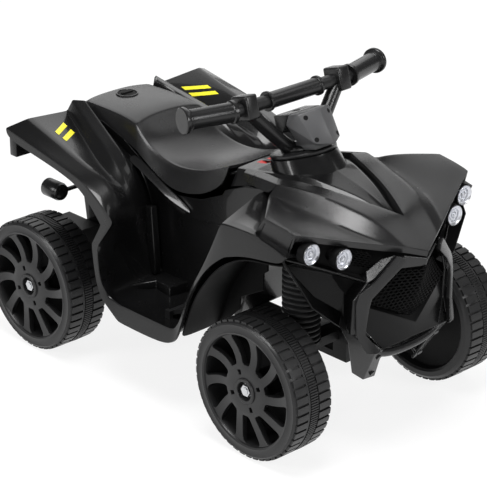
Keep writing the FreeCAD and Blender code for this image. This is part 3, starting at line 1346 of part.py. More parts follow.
sleeve = revolved("bar_sleeve", [
    (s.bar_radius + s.press_clearance, -s.sleeve_half), (s.sleeve_flange_radius, -s.sleeve_half),
    (s.sleeve_flange_radius, s.sleeve_flange_width - s.sleeve_half), (s.sleeve_radius, s.sleeve_flange_width - s.sleeve_half),
    (s.sleeve_radius, s.sleeve_half - s.sleeve_flange_width), (s.sleeve_flange_radius, s.sleeve_half - s.sleeve_flange_width),
    (s.sleeve_flange_radius, s.sleeve_half), (s.bar_radius + s.press_clearance, s.sleeve_half),
])
keep("bar_sleeve", on_column(put(sleeve, ZERO, ZERO, s.bar_height, ALONG_Y)))
for side, sign in SIDES.items():
    bore = s.bar_radius + s.press_clearance
    grip = revolved("grip_" + side, [
        (ZERO, ZERO), (s.grip_flange_radius, ZERO), (s.grip_flange_radius, -s.grip_flange_width),
        (s.grip_radius, -s.grip_flange_width), (s.grip_radius, s.grip_flange_width - s.grip_length),
        (s.grip_collar_radius, s.grip_flange_width - s.grip_length), (s.grip_collar_radius, -s.grip_length),
        (bore, -s.grip_length), (bore, -s.tyre_wall), (ZERO, -s.tyre_wall),
    ])
    tip = Vector(grip_tip.x, grip_tip.y * sign, grip_tip.z)
    axis = Vector(grip_axis.x, grip_axis.y * sign, grip_axis.z)
    grip.Placement = Placement(tip + axis * float(s.tyre_wall + s.seat_gap), Rotation(Z_AXIS, axis))
    keep("grip_" + side, on_column(grip))

# Dash pod between the fork's arms: front cover with four screws, rear cover with two buttons
pod_front_face = [
    Vector(float(s.pod_bottom_reach), -float(s.pod_bottom_half), float(s.pod_bottom)),
    Vector(float(s.pod_bottom_reach), float(s.pod_bottom_half), float(s.pod_bottom)),
    Vector(float(s.pod_top_reach), float(s.pod_top_half), float(s.pod_top)),
    Vector(float(s.pod_top_reach), -float(s.pod_top_half), float(s.pod_top)),
]
pod_low_back = float(s.pod_top - s.pod_rear_height)
pod_back_face = [
    Vector(float(s.pod_split), -float(s.pod_rear_half), pod_low_back),
    Vector(float(s.pod_split), float(s.pod_rear_half), pod_low_back),
    Vector(float(s.pod_split), float(s.pod_back_half), float(s.pod_top)),
    Vector(float(s.pod_split), -float(s.pod_back_half), float(s.pod_top)),
]
pod_shape = slab(pod_front_face, pod_back_face)
pod_normal = (pod_front_face[1] - pod_front_face[0]).cross(pod_front_face[3] - pod_front_face[0]).normalize()
pod_screws = []
pod_screw_holes = []
for up in (0.2, 0.8):
    for across in (0.2, 0.8):
        low = pod_front_face[0] * (1 - across) + pod_front_face[1] * across
        high = pod_front_face[3] * (1 - across) + pod_front_face[2] * across
        centre = low * (1 - up) + high * up
        start = centre - pod_normal * float(s.pod_screw_depth)
        pod_screws.append(Part.makeCylinder(
            float(s.pod_screw_radius), float(s.pod_screw_depth - s.pod_screw_recess), start, pod_normal,
        ))
        pod_screw_holes.append(Part.makeCylinder(
            float(s.pod_screw_radius + s.press_clearance), float(s.pod_screw_depth + s.cut_overrun), start, pod_normal,
        ))
pod_shape = pod_shape.cut(Part.makeCompound(pod_screw_holes))
keep("pod_front_cover", on_column(solid("pod_front_cover", pod_shape)))
keep("pod_screws", on_column(solid("pod_screws", Part.makeCompound(pod_screws))))
pod_rear_x = (-s.pod_rear_reach, s.pod_split)
pod_rear_z = (s.pod_top - s.pod_rear_height, s.pod_top)
pod_block = on_column(box("pod_block", pod_rear_x, (-s.pod_rear_half, s.pod_rear_half), pod_rear_z))
pod_cuts = [on_column(cylinder(
    "pod_column_bore", s.column_radius + s.press_clearance, s.column_above + s.cut_overrun, z=ZERO,
))]
button_z = s.pod_top - s.pod_rear_height / 2
for name, sign in (("horn_button", 1), ("music_button", -1)):
    pod_cuts.append(on_column(cylinder(
        name + "_well", s.button_radius + s.button_clearance, s.button_depth + s.cut_overrun,
        -(s.pod_rear_reach + s.cut_overrun), s.button_y * sign, button_z, ALONG_X,
    )))
    keep(name, on_column(cylinder(
        name, s.button_radius, s.button_proud + s.button_depth / 2,
        -(s.pod_rear_reach + s.button_proud), s.button_y * sign, button_z, ALONG_X,
    )))
keep("pod_rear_cover", cut("pod_rear_cover", pod_block, *pod_cuts))

# Accelerator pedal on its pin, with a bracket and a switch on the right footboard
floor_z = height_at(FLOOR_SHARE)
pedal_x, pedal_y = half_length * PEDAL_SHARES[0], s.body_half_width * PEDAL_SHARES[1]
bracket_y = (pedal_y - s.pedal_width / 2, pedal_y + s.pedal_width / 2)
pivot_z = floor_z + s.pedal_lift
pedal_turn = Rotation(Y_AXIS, -float(s.pedal_tilt))
pedal_frame = Placement(Vector(float(pedal_x), float(pedal_y), float(pivot_z)), pedal_turn)
plate = Part.makeBox(
    float(s.pedal_length), float(s.pedal_width - s.pedal_bracket_width * 2 - s.seat_gap * 2), float(s.pedal_thickness),
    Vector(0, float(s.pedal_bracket_width + s.seat_gap) - float(s.pedal_width) / 2, -float(s.pedal_thickness) / 2),
)
barrel_shape = Part.makeCylinder(
    float(s.pedal_barrel_radius), float(s.pedal_width - s.pedal_bracket_width * 2 - s.seat_gap * 2),
    Vector(0, float(s.pedal_bracket_width + s.seat_gap) - float(s.pedal_width) / 2, 0), Y_AXIS,
)
bore_shape = Part.makeCylinder(
    float(s.pedal_pin_radius + s.running_clearance), float(s.pedal_width),
    Vector(0, -float(s.pedal_width) / 2, 0), Y_AXIS,
)
pedal = solid("pedal", plate.fuse(barrel_shape).cut(bore_shape))
pedal.Placement = pedal_frame
keep("pedal", pedal)
brackets = [
    box(
        "pedal_bracket_" + side, (pedal_x - s.pedal_barrel_radius, pedal_x + s.pedal_barrel_radius), ys,
        (floor_z, pivot_z + s.pedal_barrel_radius),
    )
    for side, ys in (
        ("inner", (bracket_y[1] - s.pedal_bracket_width, bracket_y[1])),
        ("outer", (bracket_y[0], bracket_y[0] + s.pedal_bracket_width)),
    )
]
pedal_pin = cylinder(
    "pedal_pin", s.pedal_pin_radius, s.pedal_width, pedal_x, bracket_y[0], pivot_z, ALONG_Y,
)
keep("pedal_bracket", fuse("pedal_bracket", *brackets, pedal_pin))
keep("pedal_switch", box(
    "pedal_switch",
    (pedal_x + s.pedal_length / 2, pedal_x + s.pedal_length / 2 + s.pedal_switch_length),
    (pedal_y - s.pedal_switch_width / 2, pedal_y + s.pedal_switch_width / 2),
    (floor_z, floor_z + s.pedal_switch_height),
))

doc.recompute()
for item in doc.Objects:
    if "Invalid" in item.State or "Error" in item.State:
        raise ValueError("failed: " + item.Name)
for name, node in nodes.items():
    if node.Shape.isNull() or not node.Shape.isValid() or not node.Shape.Solids:
        raise ValueError("no valid solid: " + name)

os.makedirs("parts", exist_ok=True)
for name, node in nodes.items():
    node.Shape.exportStep("parts/%s.step" % name)
print("%d pieces" % len(nodes))
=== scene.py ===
import math

import bmesh
import bpy
from mathutils import Matrix, Vector
from mathutils.bvhtree import BVHTree


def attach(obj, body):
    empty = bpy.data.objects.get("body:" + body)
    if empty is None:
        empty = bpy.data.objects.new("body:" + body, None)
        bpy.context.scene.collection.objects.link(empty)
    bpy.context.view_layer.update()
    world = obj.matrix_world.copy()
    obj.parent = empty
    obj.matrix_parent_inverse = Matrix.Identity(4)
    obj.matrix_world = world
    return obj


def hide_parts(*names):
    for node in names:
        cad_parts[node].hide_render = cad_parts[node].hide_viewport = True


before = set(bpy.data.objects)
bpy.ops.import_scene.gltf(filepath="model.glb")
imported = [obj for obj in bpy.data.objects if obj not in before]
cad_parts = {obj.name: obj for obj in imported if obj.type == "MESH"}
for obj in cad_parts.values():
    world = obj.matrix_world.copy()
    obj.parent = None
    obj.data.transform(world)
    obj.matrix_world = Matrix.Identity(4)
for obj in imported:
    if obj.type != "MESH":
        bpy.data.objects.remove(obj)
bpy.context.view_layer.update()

# Four road wheels, each moulded in two black plastic halves that are pressed together
# at a seam. The tread has wide outer lugs, a band of fine ribs and wide inner lugs, and
# ten bent spokes carry the hub. A washer and a nut hold each wheel on its axle.


class Value:
    """A shader socket that takes part in sums."""

    def __init__(self, finish, socket):
        self.finish = finish
        self.socket = socket

    def maths(self, operation, first, second):
        return self.finish.node("ShaderNodeMath", {"operation": operation}, {0: first, 1: second})

    def __add__(self, other):
        return self.maths("ADD", self, other)

    def __mul__(self, other):
        return self.maths("MULTIPLY", self, other)

    __radd__ = __add__
    __rmul__ = __mul__


class Finish:
    """A material: its shader, its sockets and the nodes that vary them."""

    def __init__(self, name, **constants):
        self.material = bpy.data.materials.new(name)
        self.material.use_nodes = True
        self.tree = self.material.node_tree
        self.shader = self.tree.nodes["Principled BSDF"]
        for socket, value in constants.items():
            self.shader.inputs[socket.replace("_", " ")].default_value = value
        self.place = self.node("ShaderNodeTexCoord", output="Object")

    def node(self, kind, settings=None, sockets=None, output=0):
        made = self.tree.nodes.new(kind)
        for key, value in (settings or {}).items():
            setattr(made, key, value)
        for key, value in (sockets or {}).items():
            self.set(made.inputs[key], value)
        return Value(self, made.outputs[output])

    def set(self, socket, value):
        if isinstance(value, Value):
            self.tree.links.new(value.socket, socket)
        else:
            socket.default_value = value

    def feed(self, socket, value):
        self.set(self.shader.inputs[socket], value)

    def noise(self, scale, detail=2.0, ruggedness=0.55):
        sockets = {"Vector": self.place, "Scale": scale, "Detail": detail, "Roughness": ruggedness}
        return self.node("ShaderNodeTexNoise", None, sockets, "Fac")

    def tint(self, low, high, scale, detail=2.0):
        """A cloudy colour between two others."""
        sockets = {0: self.noise(scale, detail), 6: (*low, 1.0), 7: (*high, 1.0)}
        self.feed("Base Color", self.node("ShaderNodeMix", {"data_type": "RGBA"}, sockets, 2))

    def gloss(self, least, spread, scale, detail=2.0):
        """A patchy roughness that rises from its least value by a spread."""
        self.feed("Roughness", self.noise(scale, detail) * spread + least)

    def bump(self, height, strength, distance):
        sockets = {"Strength": strength, "Distance": distance, "Height": height}
        self.feed("Normal", self.node("ShaderNodeBump", None, sockets, "Normal"))


CLOUD_SCALE, CLOUD_DETAIL, COOL_SHARE = 9.0, 3.0, 1.06
PATCH_SCALE, PATCH_DETAIL = 26.0, 4.0
COARSER, COARSE_SHARE, SKIN_STRENGTH = 14, 0.6, 0.35


def skin(finish, roughness, spread, grain, depth):
    """Gives a finish a patchy gloss and a fine relief of a given grain."""
    finish.gloss(roughness - spread / 2, spread, PATCH_SCALE, PATCH_DETAIL)
    relief = finish.noise(grain, 2.0) + finish.noise(grain / COARSER, 1.0) * COARSE_SHARE
    finish.bump(relief, SKIN_STRENGTH, depth)


def moulded(name, dark, pale, roughness, spread, grain, depth, **constants):
    """Moulded plastic in cloudy black or grey, with its skin."""
    finish = Finish(name, **constants)
    finish.tint((dark,) * 3, (pale, pale, pale * COOL_SHARE), CLOUD_SCALE, CLOUD_DETAIL)
    skin(finish, roughness, spread, grain, depth)
    return finish


wheel_finish = moulded("wheel_black", 0.009, 0.014, 0.37, 0.12, 900.0, 0.0003, Specular_IOR_Level=0.38)


def spun(profile, steps=48):
    """A shape turned about the Z axis from points of radius and height."""
    mesh = bmesh.new()
    verts = [mesh.verts.new((radius, 0, height)) for radius, height in profile]
    edges = [mesh.edges.new(pair) for pair in zip(verts, verts[1:])]
    bmesh.ops.spin(
        mesh, geom=verts + edges, cent=(0, 0, 0), axis=(0, 0, 1), angle=math.tau, steps=steps,
        use_merge=True,
    )
    bmesh.ops.remove_doubles(mesh, verts=mesh.verts, dist=0.001)
    bmesh.ops.recalc_face_normals(mesh, faces=mesh.faces)
    return mesh


def raise_faces(mesh, faces, height):
    """Lifts groups of faces away from the Z axis."""
    grown = bmesh.ops.extrude_face_region(mesh, geom=faces)["geom"]
    for vert in (item for item in grown if isinstance(item, bmesh.types.BMVert)):
        radius = math.hypot(vert.co.x, vert.co.y)
        vert.co.x *= (radius + height) / radius
        vert.co.y *= (radius + height) / radius


def taken_in(target, source):
    """Adds one shape to another."""
    data = bpy.data.meshes.new("taken_in")
    source.to_mesh(data)
    source.free()
    target.from_mesh(data)
    bpy.data.meshes.remove(data)


def placed(mesh, matrix):
    """Moves a shape to its place."""
    bmesh.ops.transform(mesh, verts=mesh.verts, matrix=matrix)
    return mesh


def finish_piece(name, mesh, body, slot, finish, *nodes, sharp=38):
    """Makes a shape drawn in millimetres a piece that moves with its body."""
    bmesh.ops.scale(mesh, vec=(0.001, 0.001, 0.001), verts=mesh.verts)
    data = bpy.data.meshes.new(name)
    mesh.to_mesh(data)
    mesh.free()
    data.materials.append(finish.material)
    data.shade_smooth()
    data.set_sharp_from_angle(angle=math.radians(sharp))
    piece = bpy.data.objects.new(name, data)
    bpy.context.scene.collection.objects.link(piece)
    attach(piece, body)
    if nodes:
        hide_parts(*nodes)
    return piece


FRONT_AXLE_X, REAR_AXLE_X = 214.5, -250.5
AXLE_HEIGHT = 100.0
SEAM_Y = 180.0
WHEELS = {
    "front_left": (FRONT_AXLE_X, 1), "front_right": (FRONT_AXLE_X, -1),
    "rear_left": (REAR_AXLE_X, 1), "rear_right": (REAR_AXLE_X, -1),
}
TREAD_STEPS = 336
TREAD_FLOOR = 96.3
LUGS = 48
LUG_STEPS, LUG_STAGGER = 5, 3
LUG_RISE, RIB_RISE = 2.9, 2.2
OUTER_LUGS, FINE_RIBS, INNER_LUGS = (3.5, 22.6), (-14.6, -1.4), (-38.4, -16.4)
TYRE_PROFILE = (
    (78.5, 12.0), (78.5, 23.5), (80.0, 26.2), (82.5, 27.2), (84.0, 26.4), (92.0, 26.2), (93.4, 26.8),
    (95.6, 25.2), (96.6, 22.6), (96.8, 13.0), (96.7, 3.4), (98.7, 2.4), (98.7, -0.6), (97.4, -1.4),
    (97.4, -14.6), (97.0, -16.4), (96.8, -27.0), (96.4, -38.4), (94.6, -42.0), (91.0, -44.8),
    (84.0, -44.8), (80.5, -42.5), (78.5, -36.0), (78.5, 12.0),
)
SPOKES = 10
SPOKE_STEPS = 240
SPOKE_DEPTH, SPOKE_ROUNDING, SPOKE_EDGE = 9.0, 1.8, 1.0
SPOKE_RINGS = (13.6, 23.5, 30.5, 38.0, 39.6, 43.0, 50.0, 58.0, 66.0, 72.0, 76.0, 78.4, 80.6)
WINDOW_STEPS = 7
WINDOW_SHARES = (0.58, 0.58, 0.58, 0.36, 0.48, 0.55, 0.60, 0.65, 0.68, 0.69, 0.66, 0.55, 0.58)
FACE_HEIGHT, FACE_DIP, DIP_START, DIP_SPAN = 24.6, 3.0, 32.0, 49.0
BEND, BEND_START, BEND_SPAN, BEND_POWER = 0.18, 38.0, 42.0, 1.3
HUB_HOLES, HOLE_STEP, HOLE_HALF = 4, 16, 4
HUB_STEPS = 64
HUB_PROFILE = (
    (5.4, 16.4), (12.4, 16.4), (13.0, 17.0), (13.2, 26.2), (14.0, 27.0), (17.2, 27.0), (18.6, 25.8),
    (19.0, 15.0), (19.0, 2.0), (5.4, 2.0), (5.4, 16.4),
)
BACK_PROFILE = (
    (5.4, -44.6), (23.0, -44.6), (24.0, -43.6), (24.0, -34.0), (30.0, -31.0), (66.0, -29.0),
    (79.5, -33.0), (79.5, -29.0), (66.0, -25.0), (30.0, -27.0), (19.5, -27.0), (19.5, 2.0), (5.4, 2.0),
    (5.4, -44.6),
)


def tyre():
    """A turned tyre with its lugs and ribs raised from the tread."""
    mesh = spun(TYRE_PROFILE, TREAD_STEPS)
    per_lug = TREAD_STEPS // LUGS
    wide, fine = [], []
    for face in mesh.faces:
        middle = face.calc_center_median()
        radius = math.hypot(middle.x, middle.y)
        step = int(math.atan2(middle.y, middle.x) % math.tau / math.tau * TREAD_STEPS)
        if radius < TREAD_FLOOR:
            continue
        if OUTER_LUGS[0] < middle.z < OUTER_LUGS[1] and step % per_lug < LUG_STEPS:
            wide.append(face)
        elif INNER_LUGS[0] < middle.z < INNER_LUGS[1] and (step + LUG_STAGGER) % per_lug < LUG_STEPS:
            wide.append(face)
        elif FINE_RIBS[0] < middle.z < FINE_RIBS[1] and step % 2:
            fine.append(face)
    raise_faces(mesh, wide, LUG_RISE)
    raise_faces(mesh, fine, RIB_RISE)
    return mesh


def face_height(radius):
    """The disc stands level round the hub and dips between the hub and the rim."""
    share = min(1.0, max(0.0, (radius - DIP_START) / DIP_SPAN))
    return FACE_HEIGHT - FACE_DIP * math.sin(math.pi * share)


def spokes():
    """A dished disc with ten windows and four hub holes, warped so that the spokes bend."""
    mesh = spun([(ring, face_height(ring)) for ring in SPOKE_RINGS], SPOKE_STEPS)
    half = SPOKE_STEPS // SPOKES / 2
    windows = []
    for face in mesh.faces:
        middle = face.calc_center_median()
        radius = math.hypot(middle.x, middle.y)
        step = math.atan2(middle.y, middle.x) % math.tau / math.tau * SPOKE_STEPS
        in_window = abs(step % (half * 2) - half) < WINDOW_STEPS
        in_hole = abs(step % (SPOKE_STEPS / HUB_HOLES) - HOLE_STEP) < HOLE_HALF
        if in_window and SPOKE_RINGS[3] < radius < SPOKE_RINGS[-2]:
            windows.append(face)
        elif in_hole and SPOKE_RINGS[1] < radius < SPOKE_RINGS[2]:
            windows.append(face)
    bmesh.ops.delete(mesh, geom=windows, context="FACES")
    for vert in mesh.verts:
        radius = math.hypot(vert.co.x, vert.co.y)
        ring = min(range(len(SPOKE_RINGS)), key=lambda index: abs(SPOKE_RINGS[index] - radius))
        angle = math.atan2(vert.co.y, vert.co.x) % math.tau
        step = angle / math.tau * SPOKE_STEPS
        off = step % (half * 2) - half
        edge = WINDOW_SHARES[ring] * half
        if abs(off) <= WINDOW_STEPS:
            moved = off * edge / WINDOW_STEPS
        else:
            beyond = (abs(off) - WINDOW_STEPS) * (half - edge) / (half - WINDOW_STEPS)
            moved = math.copysign(edge + beyond, off)
        bend = BEND * max(0.0, (radius - BEND_START) / BEND_SPAN) ** BEND_POWER
        turn = (moved - off) / SPOKE_STEPS * math.tau + bend
        vert.co = Matrix.Rotation(turn, 3, "Z") @ vert.co
    if sum(face.normal.z for face in mesh.faces) < 0:
        bmesh.ops.reverse_faces(mesh, faces=mesh.faces)
    bmesh.ops.solidify(mesh, geom=mesh.faces, thickness=SPOKE_DEPTH)
    rims = [
        edge for edge in mesh.edges if len(edge.link_faces) == 2 and edge.calc_face_angle() > SPOKE_EDGE
    ]
    bmesh.ops.bevel(
        mesh, geom=rims, offset=SPOKE_ROUNDING, segments=3, profile=0.5, affect="EDGES", material=-1,
        clamp_overlap=True,
    )
    return mesh


# A dull near-black. On each wheel's back disc it is painted shade, so the windows between the spokes read
# as black. The seat's lock button and the pod's screw heads take it as their own black.
black_and_painted_shade_finish = moulded("black_and_painted_shade", 0.003, 0.005, 0.6, 0.1, 500.0, 0.0004, Specular_IOR_Level=0.15)
for wheel, (axle_x, side) in WHEELS.items():
    body = "wheel_" + wheel
    moulding = tyre()
    taken_in(moulding, spokes())
    taken_in(moulding, spun(HUB_PROFILE, HUB_STEPS))
    upright = Matrix.Translation((axle_x, SEAM_Y * side, AXLE_HEIGHT))
    upright = upright @ Matrix.Rotation(math.radians(-90 * side), 4, "X")
    finish_piece(
        body + "_moulding", placed(moulding, upright), body, "wheel_plastic", wheel_finish,
        body + "_outer", body + "_inner", sharp=32,
    )
    # The back disc behind the spokes is near-black: painted shade seen through the windows.
    finish_piece(
        body + "_back", placed(spun(BACK_PROFILE, HUB_STEPS), upright), body, "wheel_plastic", black_and_painted_shade_finish,
        body + "_inner",
    )

# Axles, nuts, kingpins and the steering linkage: zinc-plated or black steel rods and
# stampings, pushed together or held with nuts.

zinc_finish = Finish("zinc_plate", Metallic=1.0)
zinc_finish.tint((0.52, 0.53, 0.55), (0.72, 0.73, 0.74), 160.0, 3.0)
zinc_finish.gloss(0.16, 0.22, 420.0, 4.0)
steel_finish = moulded("black_steel", 0.008, 0.014, 0.36, 0.14, 700.0, 0.0003, Specular_IOR_Level=0.35)


def recoat(finish, *nodes):
    """Gives solids that keep their own shape a better surface."""
    for node in nodes:
        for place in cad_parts[node].material_slots:
            place.material = finish.material


recoat(
    zinc_finish, "axle_nut_front_left", "axle_nut_front_right", "axle_nut_rear_left", "axle_nut_rear_right",
    "rear_axle", "stub_axle_left", "stub_axle_right", "kingpins", "seat_hinge_pin",
)
recoat(steel_finish, "steering_column", "steering_crank", "tie_rod", "handlebar_bar", "fascia_screws")

# Running gear below the body: pan, front beam, knuckles, gearbox and motor in plain
# black mouldings, screwed to the underside.

under_finish = moulded("under_black", 0.006, 0.011, 0.5, 0.12, 600.0, 0.0005, Specular_IOR_Level=0.25)
recoat(
    under_finish, "chassis_pan", "front_beam", "knuckle_left", "knuckle_right", "gearbox", "drive_motor",
    "drive_coupler", "switch_housing", "pedal", "pedal_bracket", "pedal_switch", "horn_button",
    "music_button",
)
battery_finish = moulded("battery_grey", 0.055, 0.075, 0.5, 0.1, 500.0, 0.0004)
recoat(battery_finish, "battery")

# Main body: one large glossy black moulding with the rear fenders, the footwells and the
# front arches, joined to a narrow hull that the seat closes from above.

gloss_finish = moulded(
    "gloss_black", 0.004, 0.007, 0.26, 0.10, 240.0, 0.00012, Specular_IOR_Level=0.2, Coat_Weight=0.3,
    Coat_Roughness=0.04,
)
EDGE_CREASE, POINT_CREASE = 0.93, 0.9


def net(mesh, rows, sharp_columns=(), sharp_rows=(), corners=()):
    """Adds a surface through rows of points, with creases along some lines and at some points."""
    crease = mesh.edges.layers.float["crease_edge"]
    point_crease = mesh.verts.layers.float["crease_vert"]
    grid = [[mesh.verts.new(point) for point in row] for row in rows]
    for near, far in zip(grid, grid[1:]):
        for column in range(len(near) - 1):
            mesh.faces.new((near[column], far[column], far[column + 1], near[column + 1]))
    lines = [[row[column] for row in grid] for column in sharp_columns]
    lines += [grid[row] for row in sharp_rows]
    for line in lines:
        for pair in zip(line, line[1:]):
            mesh.edges.get(pair)[crease] = EDGE_CREASE
    for row, column in corners:
        grid[row][column][point_crease] = POINT_CREASE


def both_nets(rows, sharp_columns=(), sharp_rows=(), corners=()):
    """A left-hand surface with its mirror image, welded where they meet in the middle."""
    mesh = bmesh.new()
    mesh.edges.layers.float.new("crease_edge")
    mesh.verts.layers.float.new("crease_vert")
    net(mesh, rows, sharp_columns, sharp_rows, corners)
    last = len(rows[0]) - 1
    twin = [[(x, -y, z) for x, y, z in reversed(row)] for row in rows]
    twin_columns = [last - column for column in sharp_columns]
    net(mesh, twin, twin_columns, sharp_rows, [(row, last - column) for row, column in corners])
    bmesh.ops.remove_doubles(mesh, verts=mesh.verts, dist=0.01)
    return mesh


def modify(piece, kind, **settings):
    """Adds a modifier with its settings."""
    modifier = piece.modifiers.new(kind.lower(), kind)
    for key, value in settings.items():
        setattr(modifier, key, value)


ROUNDED_ABOVE = math.radians(35)


def moulded_wall(piece, wall, rounding=0.7, levels=3):
    """Rounds a net, gives it its wall on the inside and softens the edges."""
    if levels:
        modify(piece, "SUBSURF", levels=levels, render_levels=levels)
    modify(piece, "SOLIDIFY", thickness=wall / 1000, offset=-1.0, use_even_offset=True)
    modify(
        piece, "BEVEL", width=rounding / 1000, segments=2, limit_method="ANGLE", angle_limit=ROUNDED_ABOVE,
    )
    modify(piece, "WEIGHTED_NORMAL", keep_sharp=True)


LOWER_YS = (70.0, 98.0, 120.0, 134.0, 168.0, 194.0, 194.0)
FLOOR_YS = (66.0, 77.0, 97.0, 107.0, 176.0, 188.0, 192.0)
ARCH_YS = (66.0, 77.0, 97.0, 107.0, 168.0, 182.0, 185.0)
FENDER_ROWS = [
    [(-288, 64, 328), (-271, 70, 352), (-287, 82, 352), (-296, 86, 333.5),
     (-284, 168, 345), (-301, 196, 333), (-301, 196, 318)],
    [(-240, 66, 320), (-230, 80, 337), (-243, 94, 336.5), (-250, 102, 320),
     (-237, 167, 332), (-240, 196, 322), (-240, 196, 309)],
    [(-200, 68, 304), (-189, 90.5, 322.5), (-199, 106, 321), (-203, 118.5, 306.5),
     (-190, 167, 319.5), (-190, 196, 313), (-190, 196, 301)],
    [(-160, 70, 288), (-148, 101, 308), (-155, 118, 306), (-157, 135, 293.5),
     (-143, 166, 307), (-144, 194, 302), (-148, 194, 290)],
    [(-138, 70, 262), (-122, 103, 280), (-114, 124, 282), (-110, 138, 281),
     (-106, 166, 298), (-108, 194, 289), (-122, 194, 274)],
    [(-124, 70, 230), (-106, 104, 244), (-94, 124, 251), (-88, 138, 254),
     (-68, 168, 261), (-64, 194, 255), (-92, 194, 243)],
]
SIDE_ROWS = (
    (LOWER_YS, ((-122, 191), (-116, 195), (-111, 199), (-108, 202), (-103, 207), (-102, 207), (-114, 207))),
    (LOWER_YS, ((-114, 150), (-112, 150), (-110, 150), (-108, 150), (-101, 150), (-99, 150), (-108, 150))),
    (FLOOR_YS, ((-106, 124), (-105, 123), (-104, 123), (-103, 122), (-92, 126), (-86, 134), (-97, 126))),
    (FLOOR_YS, ((-88, 114), (-87, 114), (-86, 114), (-85, 114), (-70, 114), (-62, 128), (-62, 102))),
    (FLOOR_YS, ((42, 114), (42, 114), (42, 114), (42, 114), (42, 114), (46, 128), (48, 100))),
    (FLOOR_YS, ((60, 122), (60, 122), (60, 122), (59, 122), (56, 126), (58, 129), (65, 121))),
    (ARCH_YS, ((78, 180), (78, 180), (77, 180), (76, 180), (74, 183), (75, 184), (79, 182))),
    (ARCH_YS, ((93, 205), (92, 206), (91, 207), (90, 208), (88, 212), (89, 213), (94, 209))),
    (ARCH_YS, ((114, 246), (113, 248), (112, 250), (111, 251), (110, 252), (115, 253), (121, 246))),
    (ARCH_YS, ((127, 332), (127, 332), (128, 332), (129, 330), (140, 317), (143, 314), (152, 269))),
    (ARCH_YS, ((188, 291), (188, 291), (188, 293), (188, 296), (198, 319), (203, 320), (196, 286))),
    (ARCH_YS, ((262, 291), (262, 291), (262, 291), (262, 291), (265, 304), (267, 305), (262, 291))),
)
BODY_CORNERS = ((5, 5), (5, 6), (6, 5), (6, 6), (8, 5), (8, 6), (9, 5), (9, 6), (15, 5))
side_rows = FENDER_ROWS + [[(x, y, z) for y, (x, z) in zip(ys, row)] for ys, row in SIDE_ROWS]
body_sides = finish_piece(
    "body_sides", both_nets(side_rows, (1, 2, 3, 4, 5), (0, 15), BODY_CORNERS), "chassis", "body_gloss",
    gloss_finish, "main_body",
)
moulded_wall(body_sides, 3.5)

HULL_HALF = 69.0
HULL_OUTLINE = (
    (-287, 326), (-235, 329), (-190, 316), (-150, 294), (-118, 274), (-70, 260), (-20, 268), (24, 288),
    (30, 297), (70, 314), (105, 321), (146, 330), (146, 270), (122, 240), (97, 204), (82, 178), (64, 122),
    (50, 110.8), (-272, 110.8), (-285, 200),
)


def pushed(outline, way):
    """A solid made by pushing a flat outline along a way."""
    mesh = bmesh.new()
    face = mesh.faces.new([mesh.verts.new(point) for point in outline])
    grown = bmesh.ops.extrude_face_region(mesh, geom=[face], use_keep_orig=True)["geom"]
    moved = [item for item in grown if isinstance(item, bmesh.types.BMVert)]
    bmesh.ops.translate(mesh, vec=way, verts=moved)
    bmesh.ops.recalc_face_normals(mesh, faces=mesh.faces)
    return mesh


def hull():
    """The hull's walls: an outline pushed across, open on top below the seat and console."""
    mesh = pushed([(x, -HULL_HALF, z) for x, z in HULL_OUTLINE], (0, HULL_HALF * 2, 0))
    lids = [
        face for face in mesh.faces
        if len(face.verts) == 4 and (face.normal.z > 0.3 or face.normal.z < -0.9)
        and abs(face.normal.y) < 0.1
    ]
    bmesh.ops.delete(mesh, geom=lids, context="FACES")
    return mesh


body_hull = finish_piece("body_hull", hull(), "chassis", "body_gloss", gloss_finish, "main_body")
moulded_wall(body_hull, 3.2, 1.2, 0)


def prism(outline, near, far, side):
    """A plate on one side of the quad, between two distances from its middle."""
    low, high = sorted((near * side, far * side))
    return pushed([(x, low, z) for x, z in outline], (0, high - low, 0))


def block(size, place):
    """A box of a given size about a place."""
    mesh = bmesh.new()
    bmesh.ops.create_cube(mesh, size=1.0)
    bmesh.ops.scale(mesh, vec=size, verts=mesh.verts)
    bmesh.ops.translate(mesh, vec=place, verts=mesh.verts)
    return mesh


def softened(mesh, width, segments=2, angle=30):
    """Rounds every edge that is sharper than an angle."""
    edges = [
        edge for edge in mesh.edges
        if len(edge.link_faces) == 2 and edge.calc_face_angle() > math.radians(angle)
    ]
    bmesh.ops.bevel(
        mesh, geom=edges, offset=width, segments=segments, profile=0.5, affect="EDGES", material=-1,
        clamp_overlap=True,
    )
    return mesh


FLANGE_ROWS = (
    ((-165, 70, 301), (-156, 86, 294), (-158, 70, 282)),
    ((-128, 71, 287), (-110, 86, 277), (-118, 70, 258)),
    ((-96, 71, 272), (-78, 84, 259), (-88, 70, 240)),
    ((-62, 71, 258), (-52, 79, 249), (-60, 70, 233)),
    ((-42, 70, 246), (-40, 73, 243), (-44, 69, 238)),
)
body_flange = finish_piece(
    "body_flange", both_nets(FLANGE_ROWS, (1, 2)), "chassis", "body_gloss", gloss_finish, "main_body",
)
moulded_wall(body_flange, 2.6, 0.6, 2)

